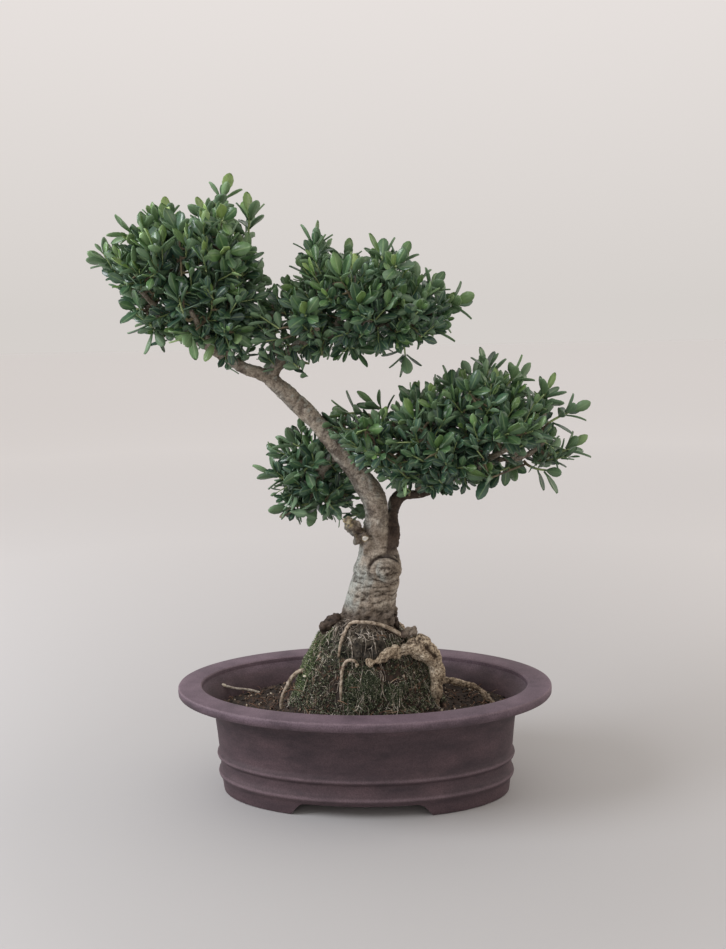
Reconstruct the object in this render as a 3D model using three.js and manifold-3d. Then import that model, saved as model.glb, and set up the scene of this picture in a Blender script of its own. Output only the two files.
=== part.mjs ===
// Small-leaved holly bonsai in an oval pot: the pot with its drain screens, the soil with a root mound,
// moss, the wood of the tree, and its leafy sprays.
// Units are millimetres, +Z is up, and the pot's feet stand on z = 0. -Y is the tree's front.
import * as THREE from "three";
import { mergeVertices } from "three/addons/utils/BufferGeometryUtils.js";
import Module from "manifold-3d";

const wasm = await Module();
wasm.setup();

// Pot: half length and half depth over the rim, and heights above the table
const RIM_HALF_LENGTH = 175;
const RIM_HALF_DEPTH = 109;
const RIM_TOP = 104.5;
const RIM_THICKNESS = 8.5;
const FLOOR_TOP = 20;
const UNDERSIDE = 12;
const OVAL_SEGMENTS = 32;
const FOOT_GAP_AT_TABLE = 66;
const FOOT_GAP_AT_ROOF = 56;
const DRAIN_RADIUS = 9;
const DRAIN_OFFSET = 45;
const SCREEN_SIZE = 34;
const SCREEN_THICKNESS = 1.2;

// Soil and mound: the level of the flat soil, and the steep root mound that carries the tree
const CLEARANCE = 0.35;
const SOIL_LEVEL = 82;
const MOSS_DEPTH = 6;
const MOUND = { x: 2, y: -2, halfLength: 74, halfDepth: 50, height: 90, steepness: 1.8 };

// Leaves: length range, width against length, thickness, droop of the tip, twist and gap to other sprays
const LEAF_LENGTH = [17, 23];
const LEAF_WIDTH = 0.44;
const LEAF_THICKNESS = 0.7;
const LEAF_ARCH = 0.08;
const LEAF_TWIST = 0.8;
const LEAF_GAP = 1.2;
const LEAF_REACH = 14;
const LEAF_JITTER = 0.3;
const LEAF_LIFT = 0.12;
const LEAF_ATTEMPTS = 4;

// Blade outline as [share of length, share of half width] between stalk and tip
const OUTLINE = [[0.3, 0.72], [0.66, 1]];

// Twigs: half widths from bark to tip, and the joints' distances from the tip, for the main twig of a spray
// and for its side twig
const TWIG_RADII = [1.3, 1.2, 1.1, 1, 0.9, 0.8];
const JOINTS_FROM_TIP = [15, 9.5, 4.5, 0];
const SIDE_TWIG_RADII = [0.9, 0.85, 0.8];
const SIDE_JOINTS_FROM_TIP = [4.5, 0];
const NEARLY_LEVEL = 0.8;
const LARGEST_ROLL = 1.57;
const FIRST_SEED = 1000;

// Where a twig may start: not near another twig's start, and not too near its own tip (penalties in mm)
const SHORTEST_SPRAY = 40;
const TOO_SHORT_PENALTY = 100;
const START_SPACING = 7;
const TAKEN_PENALTY = 60;

// Where a side twig may start, as distances from the end of the twig that carries it and from its own tip
const BARE_FROM_TIP = 15;
const SHORTEST_SIDE_TWIG = 27;

// Leaves: the twig's joint and faces they grow from, and how far they open from the twig (radians)
const LEAF_PLACES = [
  { joint: 0, faces: [0], opening: 0.1 },
  { joint: 1, faces: [0, 1, 2, 3], opening: 0.72 },
  { joint: 2, faces: [0, 2], opening: 1.15 },
  { joint: 3, faces: [1], opening: 1.25 },
];
const SIDE_LEAF_PLACES = LEAF_PLACES.slice(0, 2);

const RIGHT = new THREE.Vector3(1, 0, 0);
const BACK = new THREE.Vector3(0, 1, 0);
const UP = new THREE.Vector3(0, 0, 1);
const vector = ([x, y, z]) => new THREE.Vector3(x, y, z);
const mix = (a, b, t) => a + (b - a) * t;

// Closed geometry to solid, turned right side out, and back to a mesh
function solid(geometry) {
  const bare = geometry.index ? geometry.clone() : geometry;
  bare.deleteAttribute("normal");
  bare.deleteAttribute("uv");
  const merged = mergeVertices(bare, 1e-4);
  const vertProperties = new Float32Array(merged.attributes.position.array);
  const triVerts = new Uint32Array(merged.index.array);
  const made = new wasm.Manifold(new wasm.Mesh({ numProp: 3, vertProperties, triVerts }));
  if (made.volume() > 0) return made;
  for (let i = 0; i < triVerts.length; i += 3) triVerts.subarray(i, i + 2).reverse();
  return new wasm.Manifold(new wasm.Mesh({ numProp: 3, vertProperties, triVerts }));
}

function largestBody(made) {
  const bodies = made.decompose();
  return bodies.reduce((a, b) => (b.volume() > a.volume() ? b : a));
}

const join = (solids) => solids.reduce((a, b) => a.add(b));

const tree = new THREE.Group();

function addNode(name, made, material) {
  const { vertProperties, triVerts } = largestBody(made).getMesh();
  const geometry = new THREE.BufferGeometry();
  geometry.setAttribute("position", new THREE.BufferAttribute(new Float32Array(vertProperties), 3));
  geometry.setIndex(new THREE.BufferAttribute(new Uint32Array(triVerts), 1));
  geometry.computeVertexNormals();
  const mesh = new THREE.Mesh(geometry, material);
  mesh.name = name;
  tree.add(mesh);
}

const matt = (color, roughness = 0.9) => new THREE.MeshStandardMaterial({ color, roughness, metalness: 0 });
const CLAY = matt(0x6d555b, 0.75);
const SCREEN = matt(0x26282a, 0.6);
const SOIL = matt(0x33291f, 1);
const BARK = matt(0x8d7f6b);
const MOSS = { bright: matt(0x4f6b34, 1), dark: matt(0x2f3d24, 1) };
const LEAF = { light: matt(0x4a7a3a, 0.4), mid: matt(0x3a6334, 0.4), deep: matt(0x2c4a30, 0.4) };

// Pot: a lathe pressed into an oval, so that the wall keeps its thickness all round
const OVAL_INSET = RIM_HALF_LENGTH - RIM_HALF_DEPTH;
const FLOOR_RADIUS = 121;

function ovalDepth(radius) {
  const r = Math.max(radius, FLOOR_RADIUS);
  return (r - OVAL_INSET) / r;
}

function ovalLathe(profile) {
  const points = profile.map(([r, z]) => new THREE.Vector2(r, z));
  const lathe = new THREE.LatheGeometry(points, OVAL_SEGMENTS);
  lathe.rotateX(Math.PI / 2);
  const position = lathe.attributes.position;
  for (let i = 0; i < position.count; i += 1) {
    const x = position.getX(i);
    const y = position.getY(i);
    position.setY(i, y * ovalDepth(Math.hypot(x, y)));
  }
  return lathe;
}

const INNER_WALL = [[136, 76], [133, 50], [127, 24], [FLOOR_RADIUS, FLOOR_TOP]];

function potSolid() {
  const foot = [[0, UNDERSIDE], [118, UNDERSIDE], [FLOOR_RADIUS, 0], [136, 0]];
  const ridges = [[138, 14.4], [140.4, 19], [138.6, 23.6], [138.2, 32.6], [141.2, 36.8], [139, 41.2]];
  const underLip = [[143, 84], [155, 95.2], [171.5, RIM_TOP - RIM_THICKNESS]];
  const lip = [[RIM_HALF_LENGTH, 98.8], [RIM_HALF_LENGTH, 101.8], [173, RIM_TOP], [157, RIM_TOP]];
  const throat = [[150.5, 100.5], [140, 88]];
  const outside = [...foot, ...ridges, ...underLip, ...lip];
  const body = solid(ovalLathe([...outside, ...throat, ...INNER_WALL, [0, FLOOR_TOP]]));
  return body.subtract(footGap()).subtract(drain(-DRAIN_OFFSET)).subtract(drain(DRAIN_OFFSET));
}

// The arch between the feet, with S-curved ends, cut straight through front and back
function footGap() {
  const roof = UNDERSIDE + 0.6;
  const shape = new THREE.Shape();
  shape.moveTo(-FOOT_GAP_AT_TABLE - 3, -5);
  shape.lineTo(-FOOT_GAP_AT_TABLE, 0);
  shape.bezierCurveTo(-FOOT_GAP_AT_TABLE + 6, 2, -FOOT_GAP_AT_ROOF - 4, roof, -FOOT_GAP_AT_ROOF + 4, roof);
  shape.lineTo(FOOT_GAP_AT_ROOF - 4, roof);
  shape.bezierCurveTo(FOOT_GAP_AT_ROOF + 4, roof, FOOT_GAP_AT_TABLE - 6, 2, FOOT_GAP_AT_TABLE, 0);
  shape.lineTo(FOOT_GAP_AT_TABLE + 3, -5);
  const depth = 2.4 * RIM_HALF_DEPTH;
  const bar = new THREE.ExtrudeGeometry(shape, { depth, bevelEnabled: false, curveSegments: 5 });
  bar.rotateX(Math.PI / 2);
  bar.translate(0, depth / 2, 0);
  return solid(bar);
}

function drain(x) {
  const hole = new THREE.CylinderGeometry(DRAIN_RADIUS, DRAIN_RADIUS, 30, 16);
  hole.rotateX(Math.PI / 2);
  hole.translate(x, 0, FLOOR_TOP - 5);
  return solid(hole);
}

const boxSolid = (size, centre) => solid(new THREE.BoxGeometry(...size).translate(...centre));

// Drain screens: small plastic grids over the holes, under the soil
function screenSolid(x) {
  const z = FLOOR_TOP + CLEARANCE + SCREEN_THICKNESS / 2;
  const hole = 7;
  const pitch = 5.5;
  let plate = boxSolid([SCREEN_SIZE, SCREEN_SIZE, SCREEN_THICKNESS], [x, 0, z]);
  for (const i of [-1, 1]) {
    for (const j of [-1, 1]) {
      const gap = boxSolid([hole, hole, 4], [x + i * pitch, j * pitch, z]);
      plate = plate.subtract(gap);
    }
  }
  return plate;
}

function screenRoom(x) {
  const side = SCREEN_SIZE + 2 * CLEARANCE;
  return boxSolid([side, side, 6], [x, 0, FLOOR_TOP + CLEARANCE + SCREEN_THICKNESS + CLEARANCE - 3]);
}

// Height of the soil over the plan: a truncated mound on level soil, with small humps
function soilHeight(x, y) {
  const away = Math.hypot((x - MOUND.x) / MOUND.halfLength, (y - MOUND.y) / MOUND.halfDepth);
  const slope = MOUND.steepness * Math.max(0, 1 - away);
  const mound = (MOUND.height * slope) / (1 + slope ** 4) ** 0.25;
  const broad = 1.3 * Math.sin(0.13 * x + 1) * Math.cos(0.16 * y);
  const fine = 0.9 * Math.sin(0.31 * x - 0.24 * y);
  return SOIL_LEVEL + mound + broad + fine;
}

function soilSolid(lift = 0) {
  const wall = INNER_WALL.map(([r, z]) => [r - CLEARANCE, z]).reverse();
  wall[0][1] += CLEARANCE;
  const bottom = FLOOR_TOP + CLEARANCE;
  const edge = 136.6;
  const rings = [edge, 118, 98, 84, 72, 60, 48, 34, 16, 0];
  const body = ovalLathe([[0, bottom], ...wall, ...rings.map((r) => [r, SOIL_LEVEL])]);
  const position = body.attributes.position;
  for (let i = 0; i < position.count; i += 1) {
    if (position.getZ(i) > SOIL_LEVEL - 1) position.setZ(i, soilHeight(position.getX(i), position.getY(i)));
  }
  return solid(body.translate(0, 0, lift));
}

// A moss cushion: a cap of small domes on the mound, from one compass angle and reach to another
function mossSolid({ angles, reach, thickness }) {
  const [across, along] = [7, 4];
  const sheet = new THREE.BoxGeometry(1, 1, 1, across, along, 1);
  const position = sheet.attributes.position;
  for (let i = 0; i < position.count; i += 1) {
    const u = position.getX(i) + 0.5;
    const v = position.getY(i) + 0.5;
    const angle = mix(angles[0], angles[1], u) + 0.1 * Math.sin(9 * v);
    const away = mix(reach[0], reach[1], v) + 0.05 * Math.sin(8 * u + 2);
    const x = MOUND.x + MOUND.halfLength * away * Math.cos(angle);
    const y = MOUND.y + MOUND.halfDepth * away * Math.sin(angle);
    const rim = Math.min(1, 5 * Math.min(u, 1 - u, v, 1 - v));
    const dome = thickness * (0.25 + 0.75 * rim) * (1 + 0.3 * Math.sin(0.55 * x) * Math.cos(0.5 * y));
    const lift = position.getZ(i) > 0 ? dome : -MOSS_DEPTH;
    position.setXYZ(i, x, y, soilHeight(x, y) + lift);
  }
  return solid(sheet);
}

// Wood: a round limb along stations [x, y, z, radius], with a little unevenness and flat ends
function limb(stations, { sides = 6, step = 9, grow = 0, uneven = 0.05 } = {}) {
  const curve = new THREE.CatmullRomCurve3(stations.map(vector), false, "centripetal");
  const steps = Math.max(2, Math.round(curve.getLength() / step));
  const { tangents, normals, binormals } = curve.computeFrenetFrames(steps, false);
  const rod = new THREE.CylinderGeometry(1, 1, 1, sides, steps);
  const position = rod.attributes.position;
  const at = new THREE.Vector3();
  for (let i = 0; i < position.count; i += 1) {
    const ring = Math.round((position.getY(i) + 0.5) * steps);
    const t = curve.getUtoTmapping(ring / steps);
    const here = t * (stations.length - 1);
    const before = Math.min(Math.floor(here), stations.length - 2);
    const plain = mix(stations[before][3], stations[before + 1][3], here - before);
    const angle = Math.atan2(position.getZ(i), position.getX(i));
    const radius = plain * (1 + uneven * Math.sin(2 * angle + 1.7 * ring)) + grow;
    const ends = ring === 0 ? -grow : ring === steps ? grow : 0;
    curve.getPoint(t, at);
    at.addScaledVector(tangents[ring], ends);
    at.addScaledVector(normals[ring], position.getX(i) * radius);
    at.addScaledVector(binormals[ring], position.getZ(i) * radius);
    position.setXYZ(i, at.x, at.y, at.z);
  }
  return solid(rod);
}

function knob([x, y, z, r], grow) {
  const detail = r > 9 ? 1 : 0;
  return solid(new THREE.IcosahedronGeometry(r + grow, detail).scale(1, 0.9, 1.1).translate(x, y, z));
}

const TRUNK = [
  [3, 2, 108, 34], [4, 1, 132, 32], [6, 0, 152, 28], [7, 0, 171, 24.5], [11, 0, 192, 22.5],
  [16, 0, 214, 21.5], [16, 0, 232, 17.5], [15, 0, 248, 12.5], [15.5, 0, 262, 10.5], [14, 0, 276, 11.5],
  [7, 0, 291, 11.5], [-3, 0, 305, 10], [-16, -1, 323, 9], [-30, -2, 342, 8.6], [-46, -3, 359, 8.3],
  [-63, -4, 376, 8], [-80, -5, 392, 7],
];
const KNOBS = [
  [2, -9, 241, 8.5], [-1, -6, 251, 7], [26, -15, 216, 12], [31, 2, 240, 5],
  [55, -16, 140, 14], [-32, -8, 158, 8], [6, -31, 136, 6], [27, -27, 140, 8],
];
const STUBS = [
  [[0, -4, 246, 5], [-8, -6, 254, 4], [-11, -8, 259, 3]],
  [[22, -8, 159, 4.5], [32, -11, 158, 4], [42, -14, 157, 3.4]],
];
const ROOTS = [
  [[20, -8, 166, 8], [40, -15, 149, 10], [56, -16, 141, 11], [68, -15, 133, 8], [74, -15, 120, 6],
    [73, -16, 104, 5.6], [70, -16, 90, 5], [69, -16, 70, 4]],
  [[30, -16, 156, 2], [26, -17, 159, 2], [8, -22, 162, 1.9], [-2, -22, 163, 1.9], [-10, -21, 160, 1.8],
    [-16, -22, 153, 1.8], [-20, -27, 146, 1.7], [-19, -30, 130, 1.6]],
  [[-14, -27, 134, 1.8], [-13, -32, 133, 1.8], [-17, -36, 124, 1.7], [-19, -40, 114, 1.6],
    [-18, -42, 98, 1.4]],
  [[-48, -10, 116, 2.2], [-56, -13, 119, 2], [-66, -13, 112, 2], [-70, -13, 105, 1.8], [-76, -13, 92, 1.7],
    [-77, -12, 74, 1.5]],
  [[66, 4, 104, 3.6], [80, 8, 102, 3.4], [96, 9, 98, 3.2], [106, 8, 95, 3], [114, 6, 88, 2.8],
    [126, 4, 76, 2.4]],
  [[20, 18, 158, 9], [34, 30, 140, 8], [44, 38, 116, 7], [50, 44, 92, 5], [54, 48, 72, 4]],
  [[-8, 16, 160, 9], [-24, 28, 142, 8], [-38, 36, 116, 6], [-46, 40, 90, 4.6], [-52, 44, 70, 3.6]],
  [[-10, -12, 158, 6], [-14, -26, 141, 5.5], [4, -33, 132, 5.5], [26, -28, 138, 6], [40, -20, 142, 6]],
];

// Branches, each from inside its parent to the middle of its foliage
const BRANCHES = [
  [[-70, -4, 383, 7], [-84, -6, 394, 6.4], [-98, -7, 399, 5.6], [-116, -8, 410, 5], [-135, -9, 422, 4.6],
    [-153, -11, 436, 4], [-176, -12, 450, 3.2], [-200, -12, 470, 2.2]],
  [[-114, -8, 409, 4], [-118, -12, 438, 3.6], [-112, -14, 474, 3], [-108, -12, 512, 2]],
  [[-134, -9, 421, 4], [-146, -10, 452, 3.4], [-153, -10, 486, 2.8], [-156, -8, 514, 2]],
  [[-126, -9, 416, 3.6], [-132, -30, 434, 3], [-138, -46, 452, 2]],
  [[-124, -8, 415, 3.6], [-130, 16, 434, 3], [-136, 38, 456, 2]],
  [[-168, -11, 444, 3], [-174, -30, 458, 2.4], [-184, -40, 472, 1.8]],
  [[-166, -11, 444, 3], [-170, 14, 456, 2.4], [-178, 34, 470, 1.8]],
  [[-78, -5, 390, 6], [-68, -5, 405, 5.4], [-50, -3, 420, 4.8], [-22, 0, 429, 4.2], [8, 0, 433, 3.6],
    [40, 1, 438, 3], [72, 2, 446, 2.2]],
  [[-66, -5, 407, 4], [-74, -4, 428, 3.2], [-74, -4, 456, 2.4]],
  [[-48, -3, 421, 4], [-38, -4, 450, 3.2], [-32, -4, 484, 2.2]],
  [[-20, 0, 429, 3.6], [-8, -2, 452, 3], [4, -2, 480, 2.2]],
  [[10, 0, 433, 3.2], [28, -2, 452, 2.8], [42, -2, 476, 2]],
  [[-34, -2, 426, 3.6], [-32, -24, 432, 3], [-30, -42, 436, 2]],
  [[-2, 0, 432, 3.4], [8, -22, 436, 2.8], [16, -40, 440, 2]],
  [[-30, -1, 427, 3.6], [-26, 20, 436, 3], [-22, 38, 442, 2]],
  [[4, 0, 433, 3.4], [16, 20, 438, 2.8], [26, 38, 442, 2]],
  [[22, 4, 258, 7], [29, 10, 268, 7], [34, 13, 277, 6.6], [44, 14, 277, 6], [56, 15, 277, 4.6],
    [76, 16, 288, 4.2], [104, 13, 303, 3.8], [126, 9, 311, 3.4], [148, 6, 314, 3], [172, 6, 330, 2.2]],
  [[54, 15, 277, 4.2], [56, 18, 300, 3.8], [44, 22, 328, 3.2], [24, 22, 342, 2.6], [2, 22, 346, 2]],
  [[55, 17, 296, 3.6], [66, 10, 322, 3], [70, 6, 350, 2.2]],
  [[76, 16, 288, 3.8], [92, 12, 322, 3.2], [104, 10, 360, 2.4]],
  [[104, 13, 303, 3.4], [124, 10, 334, 3], [138, 8, 364, 2.2]],
  [[140, 7, 313, 3], [158, 8, 336, 2.4], [172, 8, 356, 1.8]],
  [[72, 16, 286, 3.6], [76, -12, 304, 3], [84, -34, 318, 2]],
  [[112, 12, 306, 3.4], [122, -12, 318, 2.8], [132, -36, 326, 2]],
  [[68, 15, 283, 3.6], [72, 34, 306, 3], [80, 50, 322, 2]],
  [[108, 13, 304, 3.4], [120, 34, 320, 2.8], [132, 46, 330, 2]],
  [[-14, 2, 321, 6], [-28, 14, 312, 5.4], [-37, 20, 298, 4.8], [-44, 23, 284, 3.8], [-52, 26, 272, 2.6]],
  [[-34, 18, 304, 4], [-50, 22, 308, 3.2], [-64, 22, 314, 2.2]],
  [[-42, 22, 288, 3.6], [-28, 28, 280, 3], [-14, 32, 276, 2.2]],
  [[-36, 20, 300, 3.6], [-36, 38, 300, 3], [-36, 50, 298, 2]],
];

// Foliage: where the outermost leaves of each spray reach, pad by pad
const SPRAYS = {
  upper_left: [
    [-230, -12, 508], [-190, 10, 530], [-166, -16, 548], [-140, 12, 546], [-112, -12, 566], [-88, 8, 548],
    [-84, -18, 508], [-200, 8, 450], [-172, -24, 420], [-148, -70, 474], [-112, -56, 470], [-190, -60, 500],
    [-128, 60, 480], [-186, 56, 496], [-124, -36, 414],
  ],
  upper_right: [
    [-80, 0, 482], [-31, -6, 524], [-10, 14, 508], [18, -10, 508], [46, 4, 507], [76, -4, 480],
    [102, 2, 456], [86, 14, 430], [-40, -64, 452], [8, -62, 462], [48, -40, 452], [-30, 58, 462],
    [30, 58, 460], [14, -20, 408],
  ],
  lower_right: [
    [-28, 22, 358], [8, 30, 372], [46, 6, 392], [78, 0, 392], [112, 12, 410], [146, 4, 400],
    [176, 14, 384], [202, 8, 364], [206, 8, 322], [184, -6, 298], [146, 14, 298], [108, 4, 284],
    [70, -54, 338], [136, -60, 350], [72, 70, 342], [140, 66, 352],
  ],
  lower_left: [
    [-72, 18, 338], [-92, 18, 306], [-80, 24, 262], [-46, 36, 252], [0, 38, 262], [-44, 70, 306],
  ],
};
const SPRAY_COLOUR = { upper_left: "light", upper_right: "mid", lower_right: "mid", lower_left: "deep" };

// Where the side twigs of these sprays reach: the front and back of each pad
const SIDE_TWIGS = {
  upper_left: [
    [-163, 46, 450], [-154, 50, 520], [-106, 44, 524], [-96, 26, 430], [-208, 26, 498], [-92, 44, 484],
    [-100, -66, 498], [-106, -56, 534], [-92, -44, 426], [-204, -40, 520], [-156, -72, 514],
    [-146, -50, 534], [-192, -58, 456], [-148, -58, 422],
  ],
  upper_right: [
    [-64, 44, 430], [-14, -48, 490], [-58, -46, 426], [-14, 46, 420], [60, -48, 434], [42, -52, 488],
    [-38, 34, 496], [-2, 62, 488], [54, 44, 484], [18, 40, 496], [78, 44, 456], [54, 60, 438],
  ],
  lower_right: [
    [168, -42, 346], [8, -40, 342], [46, -38, 368], [104, -48, 382], [44, -40, 296], [106, -46, 300],
    [98, 58, 386], [54, 48, 374], [2, 58, 334], [116, 78, 328], [170, 56, 346],
    [36, 68, 310], [84, 60, 292], [142, 54, 390], [176, 52, 312],
  ],
  lower_left: [[-26, -4, 270], [-52, -16, 300], [-30, 54, 340], [-76, 66, 290]],
};

// Seeded random numbers from 0 to 1
function randomFrom(seed) {
  let state = seed >>> 0;
  return () => {
    state = (state + 0x6d2b79f5) >>> 0;
    let t = Math.imul(state ^ (state >>> 15), state | 1);
    t = (t + Math.imul(t ^ (t >>> 7), t | 61)) ^ t;
    return ((t ^ (t >>> 14)) >>> 0) / 4294967296;
  };
}

// Balls along the wood, which twigs start from and everything in a spray keeps clear of
function ballsAlong(stations) {
  const balls = [];
  for (let i = 0; i < stations.length - 1; i += 1) {
    const [a, b] = [vector(stations[i]), vector(stations[i + 1])];
    const along = b.clone().sub(a).normalize();
    const count = Math.max(1, Math.round(a.distanceTo(b) / 3));
    for (let k = 0; k < count; k += 1) {
      const t = k / count;
      balls.push({ at: a.clone().lerp(b, t), radius: mix(stations[i][3], stations[i + 1][3], t), along });
    }
  }
  return balls;
}

const hits = (ball, others, gap) =>
  others.some((other) => other.at.distanceTo(ball.at) < other.radius + ball.radius + gap);

// A twig square off the limb at one of its balls, from a distance off the limb's middle, bending to its tip
function twigFrom({ at, along }, tip, distance) {
  const out = tip.clone().sub(at);
  const square = out.clone().addScaledVector(along, -out.dot(along)).normalize();
  const start = at.clone().addScaledVector(square, distance);
  const end = tip.clone().addScaledVector(tip.clone().sub(start).normalize(), -LEAF_REACH);
  const bend = start.clone().addScaledVector(square, 0.4 * start.distanceTo(end));
  return new THREE.QuadraticBezierCurve3(start, bend, end);
}

const twigBalls = (rings) => ballsAlong(rings.map(({ at, radius }) => [at.x, at.y, at.z, radius * 1.5]));

// The rings of a twig from the nearest spot on the wood that keeps it clear of all other wood and twigs
function twigTo(tip, roll, wood, obstacles, startsTaken) {
  const offers = wood.map((ball) => {
    const distance = ball.at.distanceTo(tip);
    const taken = startsTaken.some((start) => start.distanceTo(ball.at) < START_SPACING);
    const penalty = (taken ? TAKEN_PENALTY : 0) + (distance < SHORTEST_SPRAY ? TOO_SHORT_PENALTY : 0);
    return { ball, reach: distance + penalty };
  }).sort((a, b) => a.reach - b.reach);
  const ringsOf = ({ ball }) => {
    const curve = twigFrom(ball, tip, ball.radius * 1.1 + 2 * CLEARANCE);
    const joints = JOINTS_FROM_TIP.map((distance) => 1 - distance / curve.getLength());
    return twigRings(curve, [0, joints[0] / 2, ...joints], TWIG_RADII, roll);
  };
  const isClear = (offer) =>
    twigBalls(ringsOf(offer)).slice(2).every((ball) => !hits(ball, obstacles, CLEARANCE));
  const best = offers.find(isClear) ?? offers[0];
  startsTaken.push(best.ball.at);
  return ringsOf(best);
}

// The side twig to a tip, from inside the nearest bare stretch of a twig that keeps it clear of all others
function addSideTwig(tip, plans, wood) {
  const offers = plans.filter((plan) => !plan.side).flatMap((plan) => {
    const bare = plan.balls.filter((ball) => ball.at.distanceTo(plan.rings.at(-1).at) > BARE_FROM_TIP);
    return bare.map((ball) => ({ plan, ball, reach: ball.at.distanceTo(tip) }));
  }).filter(({ reach }) => reach > SHORTEST_SIDE_TWIG).sort((a, b) => a.reach - b.reach);
  for (const { plan, ball } of offers) {
    const curve = twigFrom(ball, tip, 0);
    const joints = SIDE_JOINTS_FROM_TIP.map((distance) => 1 - distance / curve.getLength());
    const rings = twigRings(curve, [0, ...joints], SIDE_TWIG_RADII, plan.roll);
    const others = plans.filter((other) => other !== plan).flatMap(allTwigBalls);
    const balls = twigBalls(rings);
    if (balls.some((b) => hits(b, [...wood, ...others], CLEARANCE))) continue;
    plan.side = { rings, balls, leaves: [] };
    return;
  }
}

// Rings along a twig at shares of its curve: a bare stretch, then short joints that carry the leaves
function twigRings(curve, shares, radii, roll) {
  return shares.map((u, k) => {
    const at = curve.getPoint(u);
    const along = curve.getTangent(u);
    const beside = Math.abs(along.x) > NEARLY_LEVEL ? BACK : RIGHT;
    const first = new THREE.Vector3().crossVectors(along, beside).normalize().applyAxisAngle(along, roll);
    const second = new THREE.Vector3().crossVectors(along, first);
    const faces = [first, second, first.clone().negate(), second.clone().negate()];
    return { at, along, faces, radius: radii[k] };
  });
}

// The corner between face j and the next face of a square twig
const corner = (ring, j) => ring.at.clone()
  .addScaledVector(ring.faces[j % 4], ring.radius).addScaledVector(ring.faces[(j + 1) % 4], ring.radius);

// One leaf: where its stalk leaves the twig, the blade's direction, its width and upper side, and its length
function leafFrom(ring, next, face, opening, random) {
  const out = ring.faces[face];
  const base = ring.at.clone().add(next.at).multiplyScalar(0.5).addScaledVector(out, ring.radius);
  const angle = opening + LEAF_JITTER * (random() - 0.5);
  const blade = ring.along.clone().multiplyScalar(Math.cos(angle)).addScaledVector(out, Math.sin(angle));
  const beside = ring.faces[(face + 1) % 4];
  blade.addScaledVector(beside, LEAF_JITTER * (random() - 0.5)).addScaledVector(UP, LEAF_LIFT).normalize();
  const across = beside.clone();
  across.addScaledVector(blade, -across.dot(blade)).normalize();
  across.applyAxisAngle(blade, LEAF_TWIST * (random() - 0.5));
  const upper = new THREE.Vector3().crossVectors(blade, across);
  const length = mix(LEAF_LENGTH[0], LEAF_LENGTH[1], random());
  return { face, base, blade, across, upper, length };
}

// Balls that cover a blade, as [share of length, radius over length]
const BLADE_BALLS = [[0.12, 0.12], [0.35, 0.2], [0.6, 0.23], [0.86, 0.2]];
const leafBalls = ({ base, blade, length }) =>
  BLADE_BALLS.map(([t, r]) => ({ at: base.clone().addScaledVector(blade, t * length), radius: r * length }));

const twigsOf = (plan) => (plan.side ? [plan, plan.side] : [plan]);
const allTwigBalls = (plan) => twigsOf(plan).flatMap((twig) => twig.balls);
const allLeafBalls = (plan) => twigsOf(plan).flatMap((twig) => twig.leaves.flatMap(leafBalls));

// The leaves of one twig, each tried a few times until it stands clear
function addLeaves({ rings, leaves }, places, clear, random) {
  const last = rings.length - 1;
  for (const { joint, faces, opening } of places) {
    for (const face of faces) {
      const [ring, next] = [rings[last - joint], rings[Math.min(last, last - joint + 1)]];
      for (let attempt = 0; attempt < LEAF_ATTEMPTS; attempt += 1) {
        const leaf = leafFrom(ring, next, face, opening, random);
        if (leafBalls(leaf).some((ball) => hits(ball, clear, LEAF_GAP))) continue;
        leaves.push({ ...leaf, joint });
        break;
      }
    }
  }
}

// All sprays: every twig first, then the leaves, so that no leaf stands in another spray
function planSprays() {
  const wood = BRANCHES.flatMap(ballsAlong);
  const obstacles = [...wood, ...ballsAlong(TRUNK)];
  const startsTaken = [];
  const twigs = [];
  const plans = Object.entries(SPRAYS).flatMap(([pad, tips]) =>
    tips.map((tip, k) => {
      const name = `spray_${pad}_${String(k + 1).padStart(2, "0")}`;
      return { pad, name, tip: vector(tip) };
    }));
  plans.forEach((plan, index) => {
    plan.random = randomFrom(FIRST_SEED + index);
    plan.roll = LARGEST_ROLL * plan.random();
    plan.rings = twigTo(plan.tip, plan.roll, wood, [...obstacles, ...twigs], startsTaken);
    plan.balls = twigBalls(plan.rings);
    plan.leaves = [];
    twigs.push(...plan.balls);
  });
  for (const [pad, tips] of Object.entries(SIDE_TWIGS)) {
    const inPad = plans.filter((plan) => plan.pad === pad);
    for (const tip of tips) addSideTwig(vector(tip), inPad, obstacles);
  }
  for (const plan of plans) {
    const others = plans.filter((other) => other !== plan);
    const clear = [...obstacles, ...others.flatMap(allTwigBalls), ...others.flatMap(allLeafBalls)];
    addLeaves(plan, LEAF_PLACES, clear, plan.random);
    const own = plan.leaves.flatMap(leafBalls);
    if (plan.side) addLeaves(plan.side, SIDE_LEAF_PLACES, [...clear, ...own], plan.random);
  }
  return plans;
}

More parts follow.
